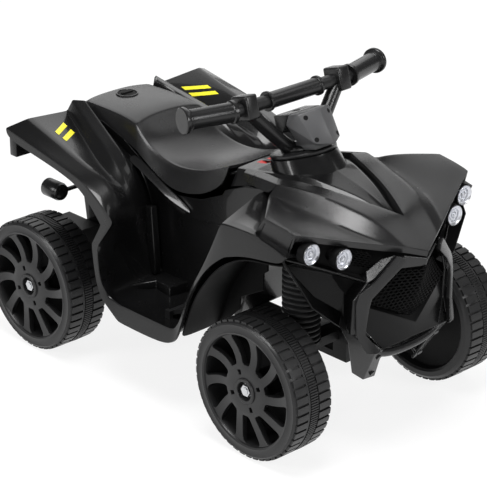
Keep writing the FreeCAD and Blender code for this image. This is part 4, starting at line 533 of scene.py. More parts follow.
LINER_OUTLINE = (
    (47, 116), (62, 112), (104, 152), (106, 172), (152, 197), (152, 222), (160, 228), (160, 262),
    (140, 266), (113, 240), (88, 204), (72, 178), (58, 132),
)
RIDGE_OUTLINE = ((-120, 234), (-104, 237), (-97, 150), (-99, 132), (-112, 132), (-114, 150))
LEDGE_OUTLINE = ((-112, 152), (-104, 152), (-85, 99), (-54, 100), (-50, 68), (-112, 68))
LEDGE_TOP, LEDGE_DEPTH = 130.0, 17.0
SEAM_OUTLINE = ((-38, 233), (58, 243), (58, 245.5), (-38, 235.5))
LINER_YS, RIDGE_YS, SEAM_YS = (108.0, 111.0), (78.0, 90.0), (68.5, 70.4)
TIP_SIZE, TIP_X, TIP_Y, TIP_Z = (16.0, 28.0, 41.0), -292.0, 178.0, 310.5
TAIL_SIZE, TAIL_PLACE = (5.0, 112.0, 104.0), (-287.0, 0.0, 264.0)
TAIL_FRAME, TAIL_RECESS = 9.0, 2.4
TAIL_RIB_SIZE, TAIL_RIB_X = (4.0, 92.0, 5.0), -286.6
TAIL_RIB_HEIGHTS = (232.0, 248.0, 264.0, 280.0, 296.0)
# A dull near-black with little reflection. On the arch liners, the arch wells and the sheet behind the nose
# it is painted shade. The grille, the lamp nets, the lamp pods and the lamp rims take it as their own
# black.
dull_black_and_painted_shade_finish = moulded("dull_black_and_painted_shade", 0.003, 0.006, 0.5, 0.14, 500.0, 0.0005, IOR=1.15)
liner = bmesh.new()
details = bmesh.new()
for side in (1, -1):
    ledge = pushed([(x, y * side, LEDGE_TOP) for x, y in LEDGE_OUTLINE], (0, 0, -LEDGE_DEPTH))
    taken_in(liner, softened(prism(LINER_OUTLINE, *LINER_YS, side), 0.8))
    taken_in(details, softened(prism(RIDGE_OUTLINE, *RIDGE_YS, side), 2.0, 3))
    taken_in(details, softened(ledge, 1.6))
    taken_in(details, softened(prism(SEAM_OUTLINE, *SEAM_YS, side), 0.5))
    taken_in(details, softened(block(TIP_SIZE, (TIP_X, TIP_Y * side, TIP_Z)), 2.0))
tail = block(TAIL_SIZE, TAIL_PLACE)
tail.normal_update()
rear_face = [face for face in tail.faces if face.normal.x < -0.9]
bmesh.ops.inset_individual(tail, faces=rear_face, thickness=TAIL_FRAME, depth=-TAIL_RECESS)
taken_in(details, softened(tail, 1.6))
for height in TAIL_RIB_HEIGHTS:
    taken_in(details, softened(block(TAIL_RIB_SIZE, (TAIL_RIB_X, 0.0, height)), 1.2))
finish_piece("arch_liners", liner, "chassis", "black_moulding", dull_black_and_painted_shade_finish, "main_body")
# The arch wells inside the front arches are near-black: painted shade.
WELL_ROWS = ((58, 116), (66, 130), (84, 178), (99, 203), (127, 240), (157, 264), (198, 282), (258, 286))
WELL_YS = (109.0, 145.0, 181.5)
well_rows = [[(x, y, z) for y in WELL_YS] for x, z in WELL_ROWS]
wells = finish_piece(
    "arch_wells", both_nets(well_rows), "chassis", "black_moulding", dull_black_and_painted_shade_finish, "main_body",
)
moulded_wall(wells, 2.0, 0.5, 2)
finish_piece("body_details", details, "chassis", "body_gloss", gloss_finish, "main_body")

# Yellow marks on the rear fenders: pairs of slanted bars cut from thin vinyl and stuck
# on the flat panels.

vinyl_finish = Finish("yellow_vinyl", Specular_IOR_Level=0.4)
vinyl_finish.tint((0.80, 0.72, 0.015), (0.88, 0.80, 0.03), 60.0)
vinyl_finish.gloss(0.28, 0.12, 300.0, 3.0)
vinyl_finish.bump(vinyl_finish.noise(900.0), 0.2, 0.0001)
MARK_XS, MARK_WIDTH, MARK_SLANT = (-268, -251), 9, 23
MARK_NEAR, MARK_FAR = 116, 150
MARK_CUTS = 7
MARK_ABOVE, MARK_LIFT = 400, 0.35
bpy.context.view_layer.update()
fender_tree = BVHTree.FromObject(body_sides, bpy.context.evaluated_depsgraph_get())
marks = bmesh.new()
for side in (1, -1):
    for start in MARK_XS:
        bar = (
            (start, MARK_NEAR), (start + MARK_WIDTH, MARK_NEAR),
            (start + MARK_WIDTH + MARK_SLANT, MARK_FAR), (start + MARK_SLANT, MARK_FAR),
        )
        corners = [marks.verts.new((x, y * side, MARK_ABOVE)) for x, y in bar]
        marks.faces.new(corners if side > 0 else corners[::-1])
bmesh.ops.subdivide_edges(marks, edges=marks.edges, cuts=MARK_CUTS, use_grid_fill=True)
for vert in marks.verts:
    surface, outward = fender_tree.ray_cast(vert.co / 1000, (0, 0, -1))[:2]
    vert.co = surface * 1000 + outward * MARK_LIFT
bmesh.ops.recalc_face_normals(marks, faces=marks.faces)
finish_piece("fender_marks", marks, "chassis", "body_gloss", vinyl_finish)

# Bellows over the front springs: soft black ribbed covers that stand between the beam
# and the arches.

bellows_finish = moulded("bellows_black", 0.007, 0.012, 0.5, 0.12, 800.0, 0.0004, Specular_IOR_Level=0.25)
BELLOWS_RIBS = 18
BELLOWS_LOW, BELLOWS_HIGH = 144.3, 287.8
BELLOWS_CREST, BELLOWS_ROOT = 26.8, 22.4
BELLOWS_Y = 100.0
BELLOWS_WAVE = ((0.0, 0.0), (0.14, 0.5), (0.30, 0.92), (0.5, 1.0), (0.70, 0.92), (0.86, 0.5))
pitch = (BELLOWS_HIGH - BELLOWS_LOW) / BELLOWS_RIBS
bellows_profile = [(0, 0)]
for rib in range(BELLOWS_RIBS):
    for share, crest in BELLOWS_WAVE:
        radius = BELLOWS_ROOT + (BELLOWS_CREST - BELLOWS_ROOT) * crest
        bellows_profile.append((radius, (rib + share) * pitch))
bellows_profile += [(BELLOWS_ROOT, BELLOWS_RIBS * pitch), (0, BELLOWS_RIBS * pitch)]
for name, side in (("left", 1), ("right", -1)):
    standing = Matrix.Translation((FRONT_AXLE_X, BELLOWS_Y * side, BELLOWS_LOW))
    finish_piece(
        "bellows_%s_cover" % name, placed(spun(bellows_profile), standing), "chassis", "bellows_rubber",
        bellows_finish, "bellows_" + name, sharp=60,
    )

# Seat: a satin black lid with a raised rear deck and a dished front, hinged at the
# console and held by a turning lock.

satin_finish = moulded("satin_black", 0.007, 0.011, 0.26, 0.09, 1100.0, 0.00025, Specular_IOR_Level=0.42)
SEAT_ROWS = (
    ((-302, 0, 337), (-302, 36, 337), (-297, 56, 336), (-290, 66, 333)),
    ((-298, 0, 345), (-297, 36, 344.5), (-291, 57, 342.5), (-284, 67, 333)),
    ((-284, 0, 349), (-282, 36, 348.5), (-277, 59, 346), (-270, 68, 331)),
    ((-235, 0, 350), (-233, 36, 349.5), (-229, 60, 347), (-226, 68, 324)),
    ((-192, 0, 349), (-190, 36, 348.5), (-184, 61, 345), (-180, 69, 312)),
    ((-175, 0, 345), (-173, 36, 344.5), (-166, 62, 341), (-158, 70, 305)),
    ((-150, 0, 316), (-147, 38, 315.5), (-138, 63, 316), (-126, 72, 288)),
    ((-112, 0, 300), (-110, 40, 301), (-102, 64, 305), (-98, 73, 276)),
    ((-72, 0, 295), (-72, 40, 297), (-70, 64, 301), (-71, 74, 267)),
    ((-18, 0, 304), (-17, 40, 307), (-16, 62, 310), (-20, 72, 274)),
    ((20, 0, 322), (20, 38, 324), (20, 52, 326), (20, 62, 298)),
)
seat_cover = finish_piece(
    "seat_cover", both_nets(SEAT_ROWS, (2,), (2, 5)), "seat", "seat_satin", satin_finish, "seat",
)
moulded_wall(seat_cover, 4.0, 1.0)

# Seat lock: a round black plastic button with a thumb rib, turned by hand in a rim that is
# moulded into the seat's rear deck.

LOCK_TURN = Matrix.Translation((-259, 0, 349.2))
LOCK_RIM_PROFILE = (
    (14.2, 0), (16.6, 0), (17.0, 0.8), (16.4, 1.8), (15.0, 2.0), (14.2, 1.4), (14.2, 0),
)
LOCK_BUTTON_PROFILE = (
    (0, -30.0), (9.0, -30.0), (9.0, -4.0), (13.6, -3.0), (13.8, 0.6), (13.2, 1.2), (4.0, 1.4), (0, 1.4),
    (0, -30.0),
)
THUMB_RIB_SIZE, THUMB_RIB_PLACE = (4.2, 21.0, 3.0), (0, 0, 2.0)
lock_rim = placed(spun(LOCK_RIM_PROFILE), LOCK_TURN)
lock_button = spun(LOCK_BUTTON_PROFILE)
taken_in(lock_button, softened(block(THUMB_RIB_SIZE, THUMB_RIB_PLACE), 0.8))
placed(lock_button, LOCK_TURN)
finish_piece("lock_rim", lock_rim, "seat", "seat_satin", satin_finish)
finish_piece("lock_button", lock_button, "seat_lock", "black_moulding", black_and_painted_shade_finish, "seat_lock")

# Nose fascia: a satin black front with lamp shelves, hollow cheeks, two blades beside the
# mouth and two chin legs, held by screws.

FASCIA_POINTS = {
    "wedge_out": (331, 42.6, 287), "wedge_top": (316.7, 56.6, 281),
    "wedge_low": (305.8, 73, 265), "wedge_in": (317, 69.5, 254),
    "brow_top": (349, 0, 274.4), "brow_low": (346.5, 0, 263),
    "brow_out": (335.9, 32, 283), "brow_end": (323, 36, 261),
    "mouth_low": (312, 72, 218.6), "mouth_floor": (319.5, 0, 183),
    "chin_top": (332.3, 0, 176), "chin_low": (328.9, 0, 154.4),
    "chin_out": (310.8, 72, 212.5), "chin_end": (310, 78, 183),
    "blade_mid": (316, 70, 247), "blade_low": (311, 82, 221), "tusk": (307, 82, 177),
    "cheek_in": (311, 76, 250), "cheek_side": (302, 92, 226), "cheek_end": (299, 93, 176),
    "cheek_top": (281, 121, 273), "cheek_tip": (252, 172, 295), "cheek_out": (271, 166, 268),
    "cheek_low": (276, 140, 222), "shelf_in": (296, 70, 258), "shelf_mid": (266, 113, 279),
    "shelf_tip": (240, 164, 297.5), "jaw": (281, 96, 184), "knee_in": (324, 54, 150),
    "knee": (326, 72, 152), "heel": (290, 88, 160), "toe_in": (295, 38, 94), "toe_out": (288, 54, 91),
    "toe_back": (272, 60, 98),
}
FASCIA_FACES = (
    ("brow_top", "brow_low", "brow_end", "brow_out"), ("wedge_out", "wedge_in", "wedge_low", "wedge_top"),
    ("wedge_in", "cheek_in", "wedge_low"), ("blade_mid", "blade_low", "cheek_side", "cheek_in"),
    ("blade_low", "tusk", "cheek_end", "cheek_side"), ("shelf_in", "cheek_in", "cheek_top", "shelf_mid"),
    ("shelf_in", "wedge_low", "cheek_in"), ("shelf_mid", "cheek_top", "cheek_tip", "shelf_tip"),
    ("knee_in", "toe_in", "toe_out", "knee"), ("knee", "toe_out", "toe_back", "heel"),
    ("tusk", "knee_in", "knee", "cheek_end"), ("cheek_end", "knee", "heel", "jaw"),
)
CHEEK_FACES = (
    ("cheek_in", "cheek_side", "cheek_top"), ("cheek_side", "cheek_low", "cheek_top"),
    ("cheek_side", "cheek_end", "jaw", "cheek_low"), ("cheek_top", "cheek_low", "cheek_out", "cheek_tip"),
)
CHIN_FACES = (
    ("mouth_floor", "chin_top", "chin_out", "mouth_low"),
    ("chin_top", "chin_low", "chin_end", "chin_out"), ("chin_low", "knee_in", "chin_end"),
)
CHEEK_RIM, CHEEK_DEPTH = 8.0, 20.0
# A near-black with little reflection for the hollow cheeks and the chin: painted shade, darker than the
# satin fascia round them.
painted_shade_finish = moulded("painted_shade_black", 0.003, 0.006, 0.2, 0.08, 300.0, 0.00015, IOR=1.24)


def point_shell(points, faces, hollow=False):
    """A surface of flat facets between named points and its mirror image, pushed in if hollow."""
    mesh = bmesh.new()
    for side in (1, -1):
        corners = {name: mesh.verts.new((x, y * side, z)) for name, (x, y, z) in points.items()}
        for names in faces:
            mesh.faces.new([corners[name] for name in (names if side > 0 else reversed(names))])
    bmesh.ops.delete(mesh, geom=[vert for vert in mesh.verts if not vert.link_faces], context="VERTS")
    bmesh.ops.remove_doubles(mesh, verts=mesh.verts, dist=0.01)
    if hollow:
        mesh.normal_update()
        bmesh.ops.inset_region(
            mesh, faces=mesh.faces[:], thickness=CHEEK_RIM, depth=-CHEEK_DEPTH, use_even_offset=True,
            use_boundary=True,
        )
    return mesh


for name, faces, finish, hollow, wall, rounding in (
    ("nose_fascia", FASCIA_FACES, satin_finish, False, 3.4, 1.3),
    ("nose_cheeks", CHEEK_FACES, painted_shade_finish, True, 3.0, 1.3),
    ("nose_chin", CHIN_FACES, painted_shade_finish, False, 3.0, 1.6),
):
    shell = point_shell(FASCIA_POINTS, faces, hollow)
    piece = finish_piece(name, shell, "chassis", "black_moulding", finish, "front_fascia")
    moulded_wall(piece, wall, rounding, 0)

BLADE_ROWS = (
    ((329, 66, 151), (326, 76, 151), (320, 84, 153)),
    ((312.6, 82, 179), (312.5, 86, 178), (307.9, 92, 179)),
    ((315.6, 79, 216), (314, 84, 220), (306.6, 92, 223)),
    ((317.6, 75, 231), (316, 80, 234), (308.2, 88, 238.3)),
    ((327, 57, 252), (326, 60, 256.4), (319.4, 72, 254)),
    ((335.1, 33, 273.6), (336.4, 32, 283.3), (330.4, 43, 286)),
)
nose_blades = finish_piece(
    "nose_blades", both_nets(BLADE_ROWS), "chassis", "black_moulding", satin_finish, "front_fascia",
)
moulded_wall(nose_blades, 6.0, 1.2, 0)

# A dark sheet behind the mouth and the cheeks, where there is only shade: painted shade that hides what
# lies behind the nose.
BACKING_ROWS = (
    ((322, 0, 290), (312, 40, 292), (300, 66, 298), (268, 118, 312)),
    ((308, 0, 262), (300, 40, 262), (294, 70, 262), (270, 112, 276)),
    ((306, 0, 186), (300, 40, 190), (292, 72, 205), (280, 96, 240)),
)
nose_backing = finish_piece(
    "nose_backing", both_nets(BACKING_ROWS), "chassis", "black_moulding", dull_black_and_painted_shade_finish, "front_fascia",
)
modify(nose_backing, "SOLIDIFY", thickness=0.002, offset=-1.0)

# Grille: a black plastic panel moulded as a honeycomb, clipped behind the mouth. Two small
# patches of the same kind fill the recesses beside the lamps.

CELL_SQUASH, CELL_WALL = 0.74, 0.8


def honeycomb(pitch, rows, columns, inside, place):
    """A flat honeycomb of the cells that lie inside a patch, moved onto its place."""
    mesh = bmesh.new()
    radius = pitch / math.sqrt(3)
    for row in range(-rows, rows + 1):
        for column in range(-columns, columns + 1):
            across, up = (column + row % 2 / 2) * pitch, row * radius * 1.5 * CELL_SQUASH
            if inside(across, up):
                bmesh.ops.create_circle(
                    mesh, cap_ends=True, segments=6, radius=radius,
                    matrix=Matrix.Translation((0, across, up)) @ Matrix.Diagonal((1, 1, CELL_SQUASH, 1))
                    @ Matrix.Rotation(math.radians(90), 4, "Y"),
                )
    bmesh.ops.remove_doubles(mesh, verts=mesh.verts, dist=0.05)
    rims = set(bmesh.ops.inset_individual(mesh, faces=mesh.faces[:], thickness=CELL_WALL)["faces"])
    bmesh.ops.delete(mesh, geom=[face for face in mesh.faces if face not in rims], context="FACES_ONLY")
    bmesh.ops.recalc_face_normals(mesh, faces=mesh.faces)
    for vert in mesh.verts:
        vert.co = place(vert.co.y, vert.co.z)
    return mesh


GRILLE_PITCH, GRILLE_ROWS, GRILLE_COLUMNS = 7.2, 14, 12
MOUTH_MIDDLE, MOUTH_SIDE = 224, 295
MOUTH_FLOOR, FLOOR_SLOPE = 185, 0.494
MOUTH_BROW, BROW_SLOPE = 261, 0.11
KEEL_X, KEEL_Z, KEEL_LEAN = 319.5, 183, 0.335
SWEEP, SWEEP_LEAST, SWEEP_Z, SWEEP_GAIN = 0.27, 0.1, 218, 0.0096


def in_mouth(across, up):
    """The mouth is wide at the brow and narrows down to the chin."""
    height, out = MOUTH_MIDDLE + up, abs(across)
    above_floor = height > MOUTH_FLOOR + out * FLOOR_SLOPE
    return above_floor and height < MOUTH_BROW - out * BROW_SLOPE and out < MOUTH_SIDE - height


def on_mouth(across, up):
    """The mouth is pointed: its middle stands forward and its top leans out."""
    height = MOUTH_MIDDLE + up
    middle = KEEL_X + (height - KEEL_Z) * KEEL_LEAN
    sweep = max(SWEEP_LEAST, SWEEP + (height - SWEEP_Z) * SWEEP_GAIN)
    return (middle - sweep * abs(across), across, height)


grille = honeycomb(GRILLE_PITCH, GRILLE_ROWS, GRILLE_COLUMNS, in_mouth, on_mouth)
grille_net = finish_piece("grille_net", grille, "chassis", "black_moulding", dull_black_and_painted_shade_finish, "grille_panel")
modify(grille_net, "SOLIDIFY", thickness=0.004, offset=0.0)
PATCH_PITCH, PATCH_ROWS, PATCH_COLUMNS = 6.4, 4, 2
PATCH_CORNER, PATCH_HALF = Vector((301, 80, 283)), (13, 14)
PATCH_ACROSS, PATCH_UP = Vector((-24, 30, 9)) / 38, Vector((3, 8, 20)) / 21


def in_patch(across, up):
    """The patch is a small rectangle beside the lamps."""
    return abs(across) < PATCH_HALF[0] and abs(up) < PATCH_HALF[1]


def on_patch(across, up):
    """The patch sweeps back as it goes outward, and its top leans out."""
    return PATCH_CORNER + PATCH_ACROSS * across + PATCH_UP * up


patches = honeycomb(PATCH_PITCH, PATCH_ROWS, PATCH_COLUMNS, in_patch, on_patch)
twin_patch = patches.copy()
bmesh.ops.scale(twin_patch, vec=(1, -1, 1), verts=twin_patch.verts)
taken_in(patches, twin_patch)
bmesh.ops.recalc_face_normals(patches, faces=patches.faces)
lamp_nets = finish_piece("lamp_nets", patches, "chassis", "black_moulding", dull_black_and_painted_shade_finish, "grille_panel")
modify(lamp_nets, "SOLIDIFY", thickness=0.003, offset=0.0)

# Bumper bar: a black plastic tube bent across the chin, with its ends pushed into the legs
# of the nose fascia.


def tube(points, radius, sides=24):
    """A round bar along a smooth line."""
    line = bpy.data.curves.new("tube", "CURVE")
    line.dimensions = "3D"
    spline = line.splines.new("NURBS")
    spline.points.add(len(points) - 1)
    for point, place in zip(spline.points, points):
        point.co = (*place, 1.0)
    spline.use_endpoint_u = True
    spline.order_u = 3
    line.bevel_depth = radius
    line.bevel_resolution = sides // 4 - 2
    line.resolution_u = 12
    line.use_fill_caps = True
    holder = bpy.data.objects.new("tube", line)
    data = bpy.data.meshes.new_from_object(holder)
    mesh = bmesh.new()
    mesh.from_mesh(data)
    bpy.data.objects.remove(holder)
    bpy.data.curves.remove(line)
    bpy.data.meshes.remove(data)
    bmesh.ops.remove_doubles(mesh, verts=mesh.verts, dist=0.001)
    bmesh.ops.recalc_face_normals(mesh, faces=mesh.faces)
    return mesh


BUMPER_POINTS = ((311, 72, 156), (315, 62, 147), (317, 44, 140), (318, 20, 137), (318, 0, 136.5))
bumper_line = [(x, -y, z) for x, y, z in BUMPER_POINTS] + [(x, y, z) for x, y, z in BUMPER_POINTS[-2::-1]]
BUMPER_RADIUS = 6.6
finish_piece(
    "bumper_tube", tube(bumper_line, BUMPER_RADIUS), "chassis", "black_moulding", satin_finish,
    "bumper_bar", sharp=60,
)

# Lamp pods and lamps: dark housings below the hood's wings, each with two lamps made of
# a black rim, a bright ringed cup, a small dome and a clear cover.

recoat(dull_black_and_painted_shade_finish, "headlight_pods")
chrome_finish = Finish("lamp_chrome", Metallic=1.0)
chrome_finish.tint((0.72, 0.73, 0.76), (0.86, 0.87, 0.90), 300.0)
chrome_finish.gloss(0.24, 0.12, 500.0, 3.0)
lens_finish = Finish("lamp_clear", Transmission_Weight=1.0, IOR=1.49)
lens_finish.tint((0.93, 0.94, 0.96), (0.98, 0.98, 1.0), 90.0)
lens_finish.gloss(0.01, 0.03, 400.0, 3.0)
LAMPS = {
    "inner_left": (296.0, 108.5, 290.0), "outer_left": (277.0, 149.0, 303.0),
    "inner_right": (296.0, -108.5, 290.0), "outer_right": (277.0, -149.0, 303.0),
}
RIM_PROFILE = ((14.3, -8.6), (15.6, -8.6), (15.6, 2.2), (15.2, 3.0), (14.7, 3.2), (14.3, 2.6), (14.3, -8.6))
CUP_PROFILE = (
    (0, -1.0), (4.3, -1.0), (5.2, 1.4), (6.7, 1.4), (7.4, -0.6), (9.0, -0.6), (9.8, 2.2), (11.8, 2.4),
    (14.1, 4.4), (14.1, -7.6), (0, -7.6), (0, -1.0),
)
DOME_PROFILE = ((0, 4.2), (1.7, 3.9), (2.8, 2.8), (3.5, 1.2), (3.5, -1.2), (0, -1.2), (0, 4.2))
COVER_PROFILE = (
    (0, 7.6), (5.2, 7.3), (10.0, 6.5), (13.1, 5.5), (14.2, 4.8), (14.2, 4.2), (12.8, 4.7), (9.7, 5.7),
    (5.1, 6.5), (0, 6.8), (0, 7.6),
)
for lamp, place in LAMPS.items():
    forwards = Matrix.Translation(place) @ Matrix.Rotation(math.radians(90), 4, "Y")
    for part, profile, finish, slot, node in (
        ("rim", RIM_PROFILE, dull_black_and_painted_shade_finish, "black_moulding", "headlight_reflectors"),
        ("cup", CUP_PROFILE, chrome_finish, "lamp_chrome", "headlight_reflectors"),
        ("dome", DOME_PROFILE, chrome_finish, "lamp_chrome", "headlight_reflectors"),
        ("cover", COVER_PROFILE, lens_finish, "lamp_clear", "headlight_lenses"),
    ):
        shape = placed(spun(profile), forwards)
        finish_piece("lamp_%s_%s" % (lamp, part), shape, "chassis", slot, finish, node)

# Hood: a satin black shell with a pointed beak, two arms round the console and wide wings
# that are scooped towards the lamps, snapped onto the body.

HOOD_ROWS = (
    ((132, 66, 316), (136, 70, 318), (149, 88, 316), (149, 100, 306), (169, 122, 300), (204, 168, 306),
     (197, 171, 308)),
    ((133, 66, 322), (138, 70, 348), (152, 88, 347), (150, 100, 334), (172, 122, 343), (215, 170, 341),
     (199, 172, 316)),
    ((179, 47, 322), (181, 51, 347), (186, 78, 347), (190, 96, 331), (208, 128, 338), (230, 170, 339),
     (214, 172, 313)),
    ((229, 31, 318), (230, 35, 340), (228, 64, 343), (232, 90, 325), (240, 130, 332), (245, 169.5, 337),
     (232, 171.5, 310)),
    ((268, 14, 312), (270, 17, 332), (264, 58, 336), (268, 84, 319), (266, 126, 325), (258, 168.5, 335),
     (246, 171, 307)),
    ((300, 0, 305), (304, 0, 323), (300, 45, 324), (296, 70, 311.5), (286, 112, 318), (265, 168, 334),
     (254, 170.5, 305)),
    ((345, 0, 283), (350.5, 0, 286), (338, 30, 297), (324, 57, 302.5), (303, 98, 313.5),
     (271, 167, 332.5), (261, 170, 303.5)),
    ((343, 0, 274), (347.5, 0, 277), (334, 30, 287), (320, 57, 293), (299, 98, 304), (267, 166, 323),
     (258, 169, 300)),
)
hood_shell = finish_piece(
    "hood_shell", both_nets(HOOD_ROWS, (1, 2, 3, 5), (1, 6)), "chassis", "hood_satin", satin_finish,
    "front_hood",
)
moulded_wall(hood_shell, 3.5, 0.9)
ARM_ROWS = (
    ((62, 54, 320), (60, 54, 335), (66, 66, 333), (68, 70, 322)),
    ((98, 58, 322), (98, 58, 341), (106, 75, 340), (106, 82, 328)),
    ((134, 66, 322), (138, 69.5, 347.6), (152, 87.5, 346.6), (150, 99.5, 333.6)),
)
hood_arms = finish_piece(
    "hood_arms", both_nets(ARM_ROWS, (1, 2), (0,)), "chassis", "hood_satin", satin_finish, "front_hood",
)
moulded_wall(hood_arms, 3.0, 0.8)

# Console: a glossy black cover between the hood's arms, clipped to the body. It has two
# switch windows and a round collar, with a black ring that the steering column turns in.

CONSOLE_YS, CONSOLE_FULL = (0.0, 2.0, 16.0), 40
WINDOW_XS, WINDOW_YS = (40, 56), (5, 13)
CONSOLE_ROWS = (
    (30, 326, (44, 324), (58, 299)), (36.6, 327, (44, 325), (60, 303)), (59.4, 331, (45, 329), (64, 311)),
    (70, 333, (46, 331), (66, 315)), (105, 342, (50, 339), (66, 323)), (140, 351, (50, 347), (62, 336)),
    (166, 356.5, (42, 350), (52, 341)), (187, 348, (36, 346), (45, 340)),
    (230, 340, (22, 339), (30, 335)), (271, 324, (8, 323.5), (14, 320)), (303, 308, (2, 307.8), (4, 306)),
)
console_rows = []
for x, z, shoulder, edge in CONSOLE_ROWS:
    narrowing = min(1.0, shoulder[0] / CONSOLE_FULL)
    inner = [(x, y * narrowing, z - (z - shoulder[1]) * y / shoulder[0]) for y in CONSOLE_YS]
    console_rows.append(inner + [(x, *shoulder), (x, *edge)])
console = both_nets(console_rows, (3,))
windows = []
for face in console.faces:
    middle = face.calc_center_median()
    if WINDOW_XS[0] < middle.x < WINDOW_XS[1] and WINDOW_YS[0] < abs(middle.y) < WINDOW_YS[1]:
        windows.append(face)
bmesh.ops.delete(console, geom=windows, context="FACES")
crease_line = console.edges.layers.float["crease_edge"]
for edge in console.edges:
    if edge.is_boundary:
        edge[crease_line] = 1.0
console_shell = finish_piece(
    "console_shell", console, "chassis", "body_gloss", gloss_finish, "console_cover",
)
moulded_wall(console_shell, 3.0, 0.6)

COLUMN_TURN = Matrix.Translation((118, 0, 352)) @ Matrix.Rotation(math.radians(-16.177), 4, "Y")
COLLAR_PROFILE = (
    (39.5, 7.6), (45.6, 7.6), (47.2, 6.6), (48.2, 3.0), (52.6, -22.0), (56.0, -44.0), (52.0, -44.0),
    (45.0, 1.0), (39.5, 3.0), (39.5, 7.6),
)
COLLAR_LEAN, COLLAR_LIP = 0.34, 3.0
COLLAR_STEPS = 96
collar = spun(COLLAR_PROFILE, COLLAR_STEPS)
for vert in collar.verts:
    vert.co.x -= COLLAR_LEAN * min(0.0, vert.co.z - COLLAR_LIP)
placed(collar, COLUMN_TURN)
finish_piece("console_collar", collar, "chassis", "body_gloss", gloss_finish, "console_cover")
rocker_finish = Finish("rocker_red")
rocker_finish.tint((0.42, 0.012, 0.010), (0.56, 0.020, 0.016), 40.0)
skin(rocker_finish, 0.32, 0.10, 500.0, 0.0002)
recoat(rocker_finish, "power_rocker", "direction_rocker")
RING_PROFILE = (
    (7, -5.6), (38.6, -5.6), (38.8, 8.2), (46.4, 8.2), (47.0, 9.0), (47.0, 12.4), (46.0, 13.4),
    (40.0, 14.6), (36.0, 15.0), (7, 15.0), (7, -5.6),
)
ring = placed(spun(RING_PROFILE, COLLAR_STEPS), COLUMN_TURN)
finish_piece("column_ring", ring, "chassis", "black_moulding", satin_finish, "steering_ring")

# Handlebar: a black fork on the steering column clamps a bent tube with a sleeve in its
# middle and a plastic grip on each end. A small pod with two buttons sits in the fork.

FORK_PROFILE = (
    (7, 15.1), (30, 15.1), (31, 16.0), (31, 18.0), (28, 21.0), (24, 22.4), (7, 22.4), (7, 15.1),
)
FORK_STEPS = 64
FORK_ARM, FORK_ARM_RADIUS = ((14, 15), (28, 22), (58, 56), (88, 88)), 10.4
CLAMP_SIZE, CLAMP_Y, CLAMP_Z = (32, 21, 34), 88, 92
fork = spun(FORK_PROFILE, FORK_STEPS)
for side in (1, -1):
    taken_in(fork, tube([(0, y * side, z) for y, z in FORK_ARM], FORK_ARM_RADIUS))
    taken_in(fork, softened(block(CLAMP_SIZE, (0, CLAMP_Y * side, CLAMP_Z)), 3.0, 3))
placed(fork, COLUMN_TURN)
finish_piece("fork_moulding", fork, "handlebar", "black_moulding", satin_finish, "handlebar_fork")

BAR_RISE = 91.0
SLEEVE_PROFILE = (
    (9.6, -50), (13.2, -50), (14.0, -49.2), (14.0, -45.8), (13.2, -45), (11.8, -44.6), (11.5, -43),
    (11.5, 43), (11.8, 44.6), (13.2, 45), (14.0, 45.8), (14.0, 49.2), (13.2, 50), (9.6, 50), (9.6, -50),
)
crosswise = Matrix.Translation((0, 0, BAR_RISE)) @ Matrix.Rotation(math.radians(90), 4, "X")
sleeve = placed(spun(SLEEVE_PROFILE), COLUMN_TURN @ crosswise)
finish_piece("sleeve_moulding", sleeve, "handlebar", "grip_plastic", satin_finish, "bar_sleeve")

GRIP_PROFILE = (
    (9.6, 0), (15.2, 0), (16.0, 0.8), (16.0, 5.2), (15.2, 6.0), (14.2, 6.6), (13.8, 9.0), (13.8, 66.0),
    (14.4, 66.6), (14.4, 68.4), (13.8, 69.0), (13.8, 71.0), (15.4, 72.4), (17.6, 73.4), (18.4, 74.6),
    (18.4, 78.6), (17.4, 79.8), (0, 80.2), (0, 76.0), (9.6, 76.0), (9.6, 0),
)
TUBE_BEND_Y, TUBE_END = 109.0, (-18.0, 184.0, 97.0)
GRIP_LENGTH, GRIP_CAP = 80.2, 2.6
for name, side in (("left", 1), ("right", -1)):
    start = Vector((0, TUBE_BEND_Y * side, BAR_RISE))
    end = Vector((TUBE_END[0], TUBE_END[1] * side, TUBE_END[2]))
    along = (end - start).normalized()
    aim = along.to_track_quat("Z", "X").to_matrix().to_4x4()
    grip_place = Matrix.Translation(end + along * GRIP_CAP - along * GRIP_LENGTH)
    grip = placed(spun(GRIP_PROFILE), COLUMN_TURN @ grip_place @ aim)
    finish_piece("grip_%s_moulding" % name, grip, "handlebar", "grip_plastic", satin_finish, "grip_" + name)


def cad_copy(node):
    """A welded copy of a solid, in millimetres, to be softened."""
    mesh = bmesh.new()
    mesh.from_mesh(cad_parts[node].data)
    bmesh.ops.scale(mesh, vec=(1000, 1000, 1000), verts=mesh.verts)
    bmesh.ops.remove_doubles(mesh, verts=mesh.verts, dist=0.005)
    bmesh.ops.dissolve_limit(mesh, angle_limit=math.radians(1), verts=mesh.verts, edges=mesh.edges)
    return mesh


rear_cover = softened(cad_copy("pod_rear_cover"), 1.2)
finish_piece(
    "pod_rear_cover_moulding", rear_cover, "handlebar", "black_moulding", satin_finish, "pod_rear_cover",
)

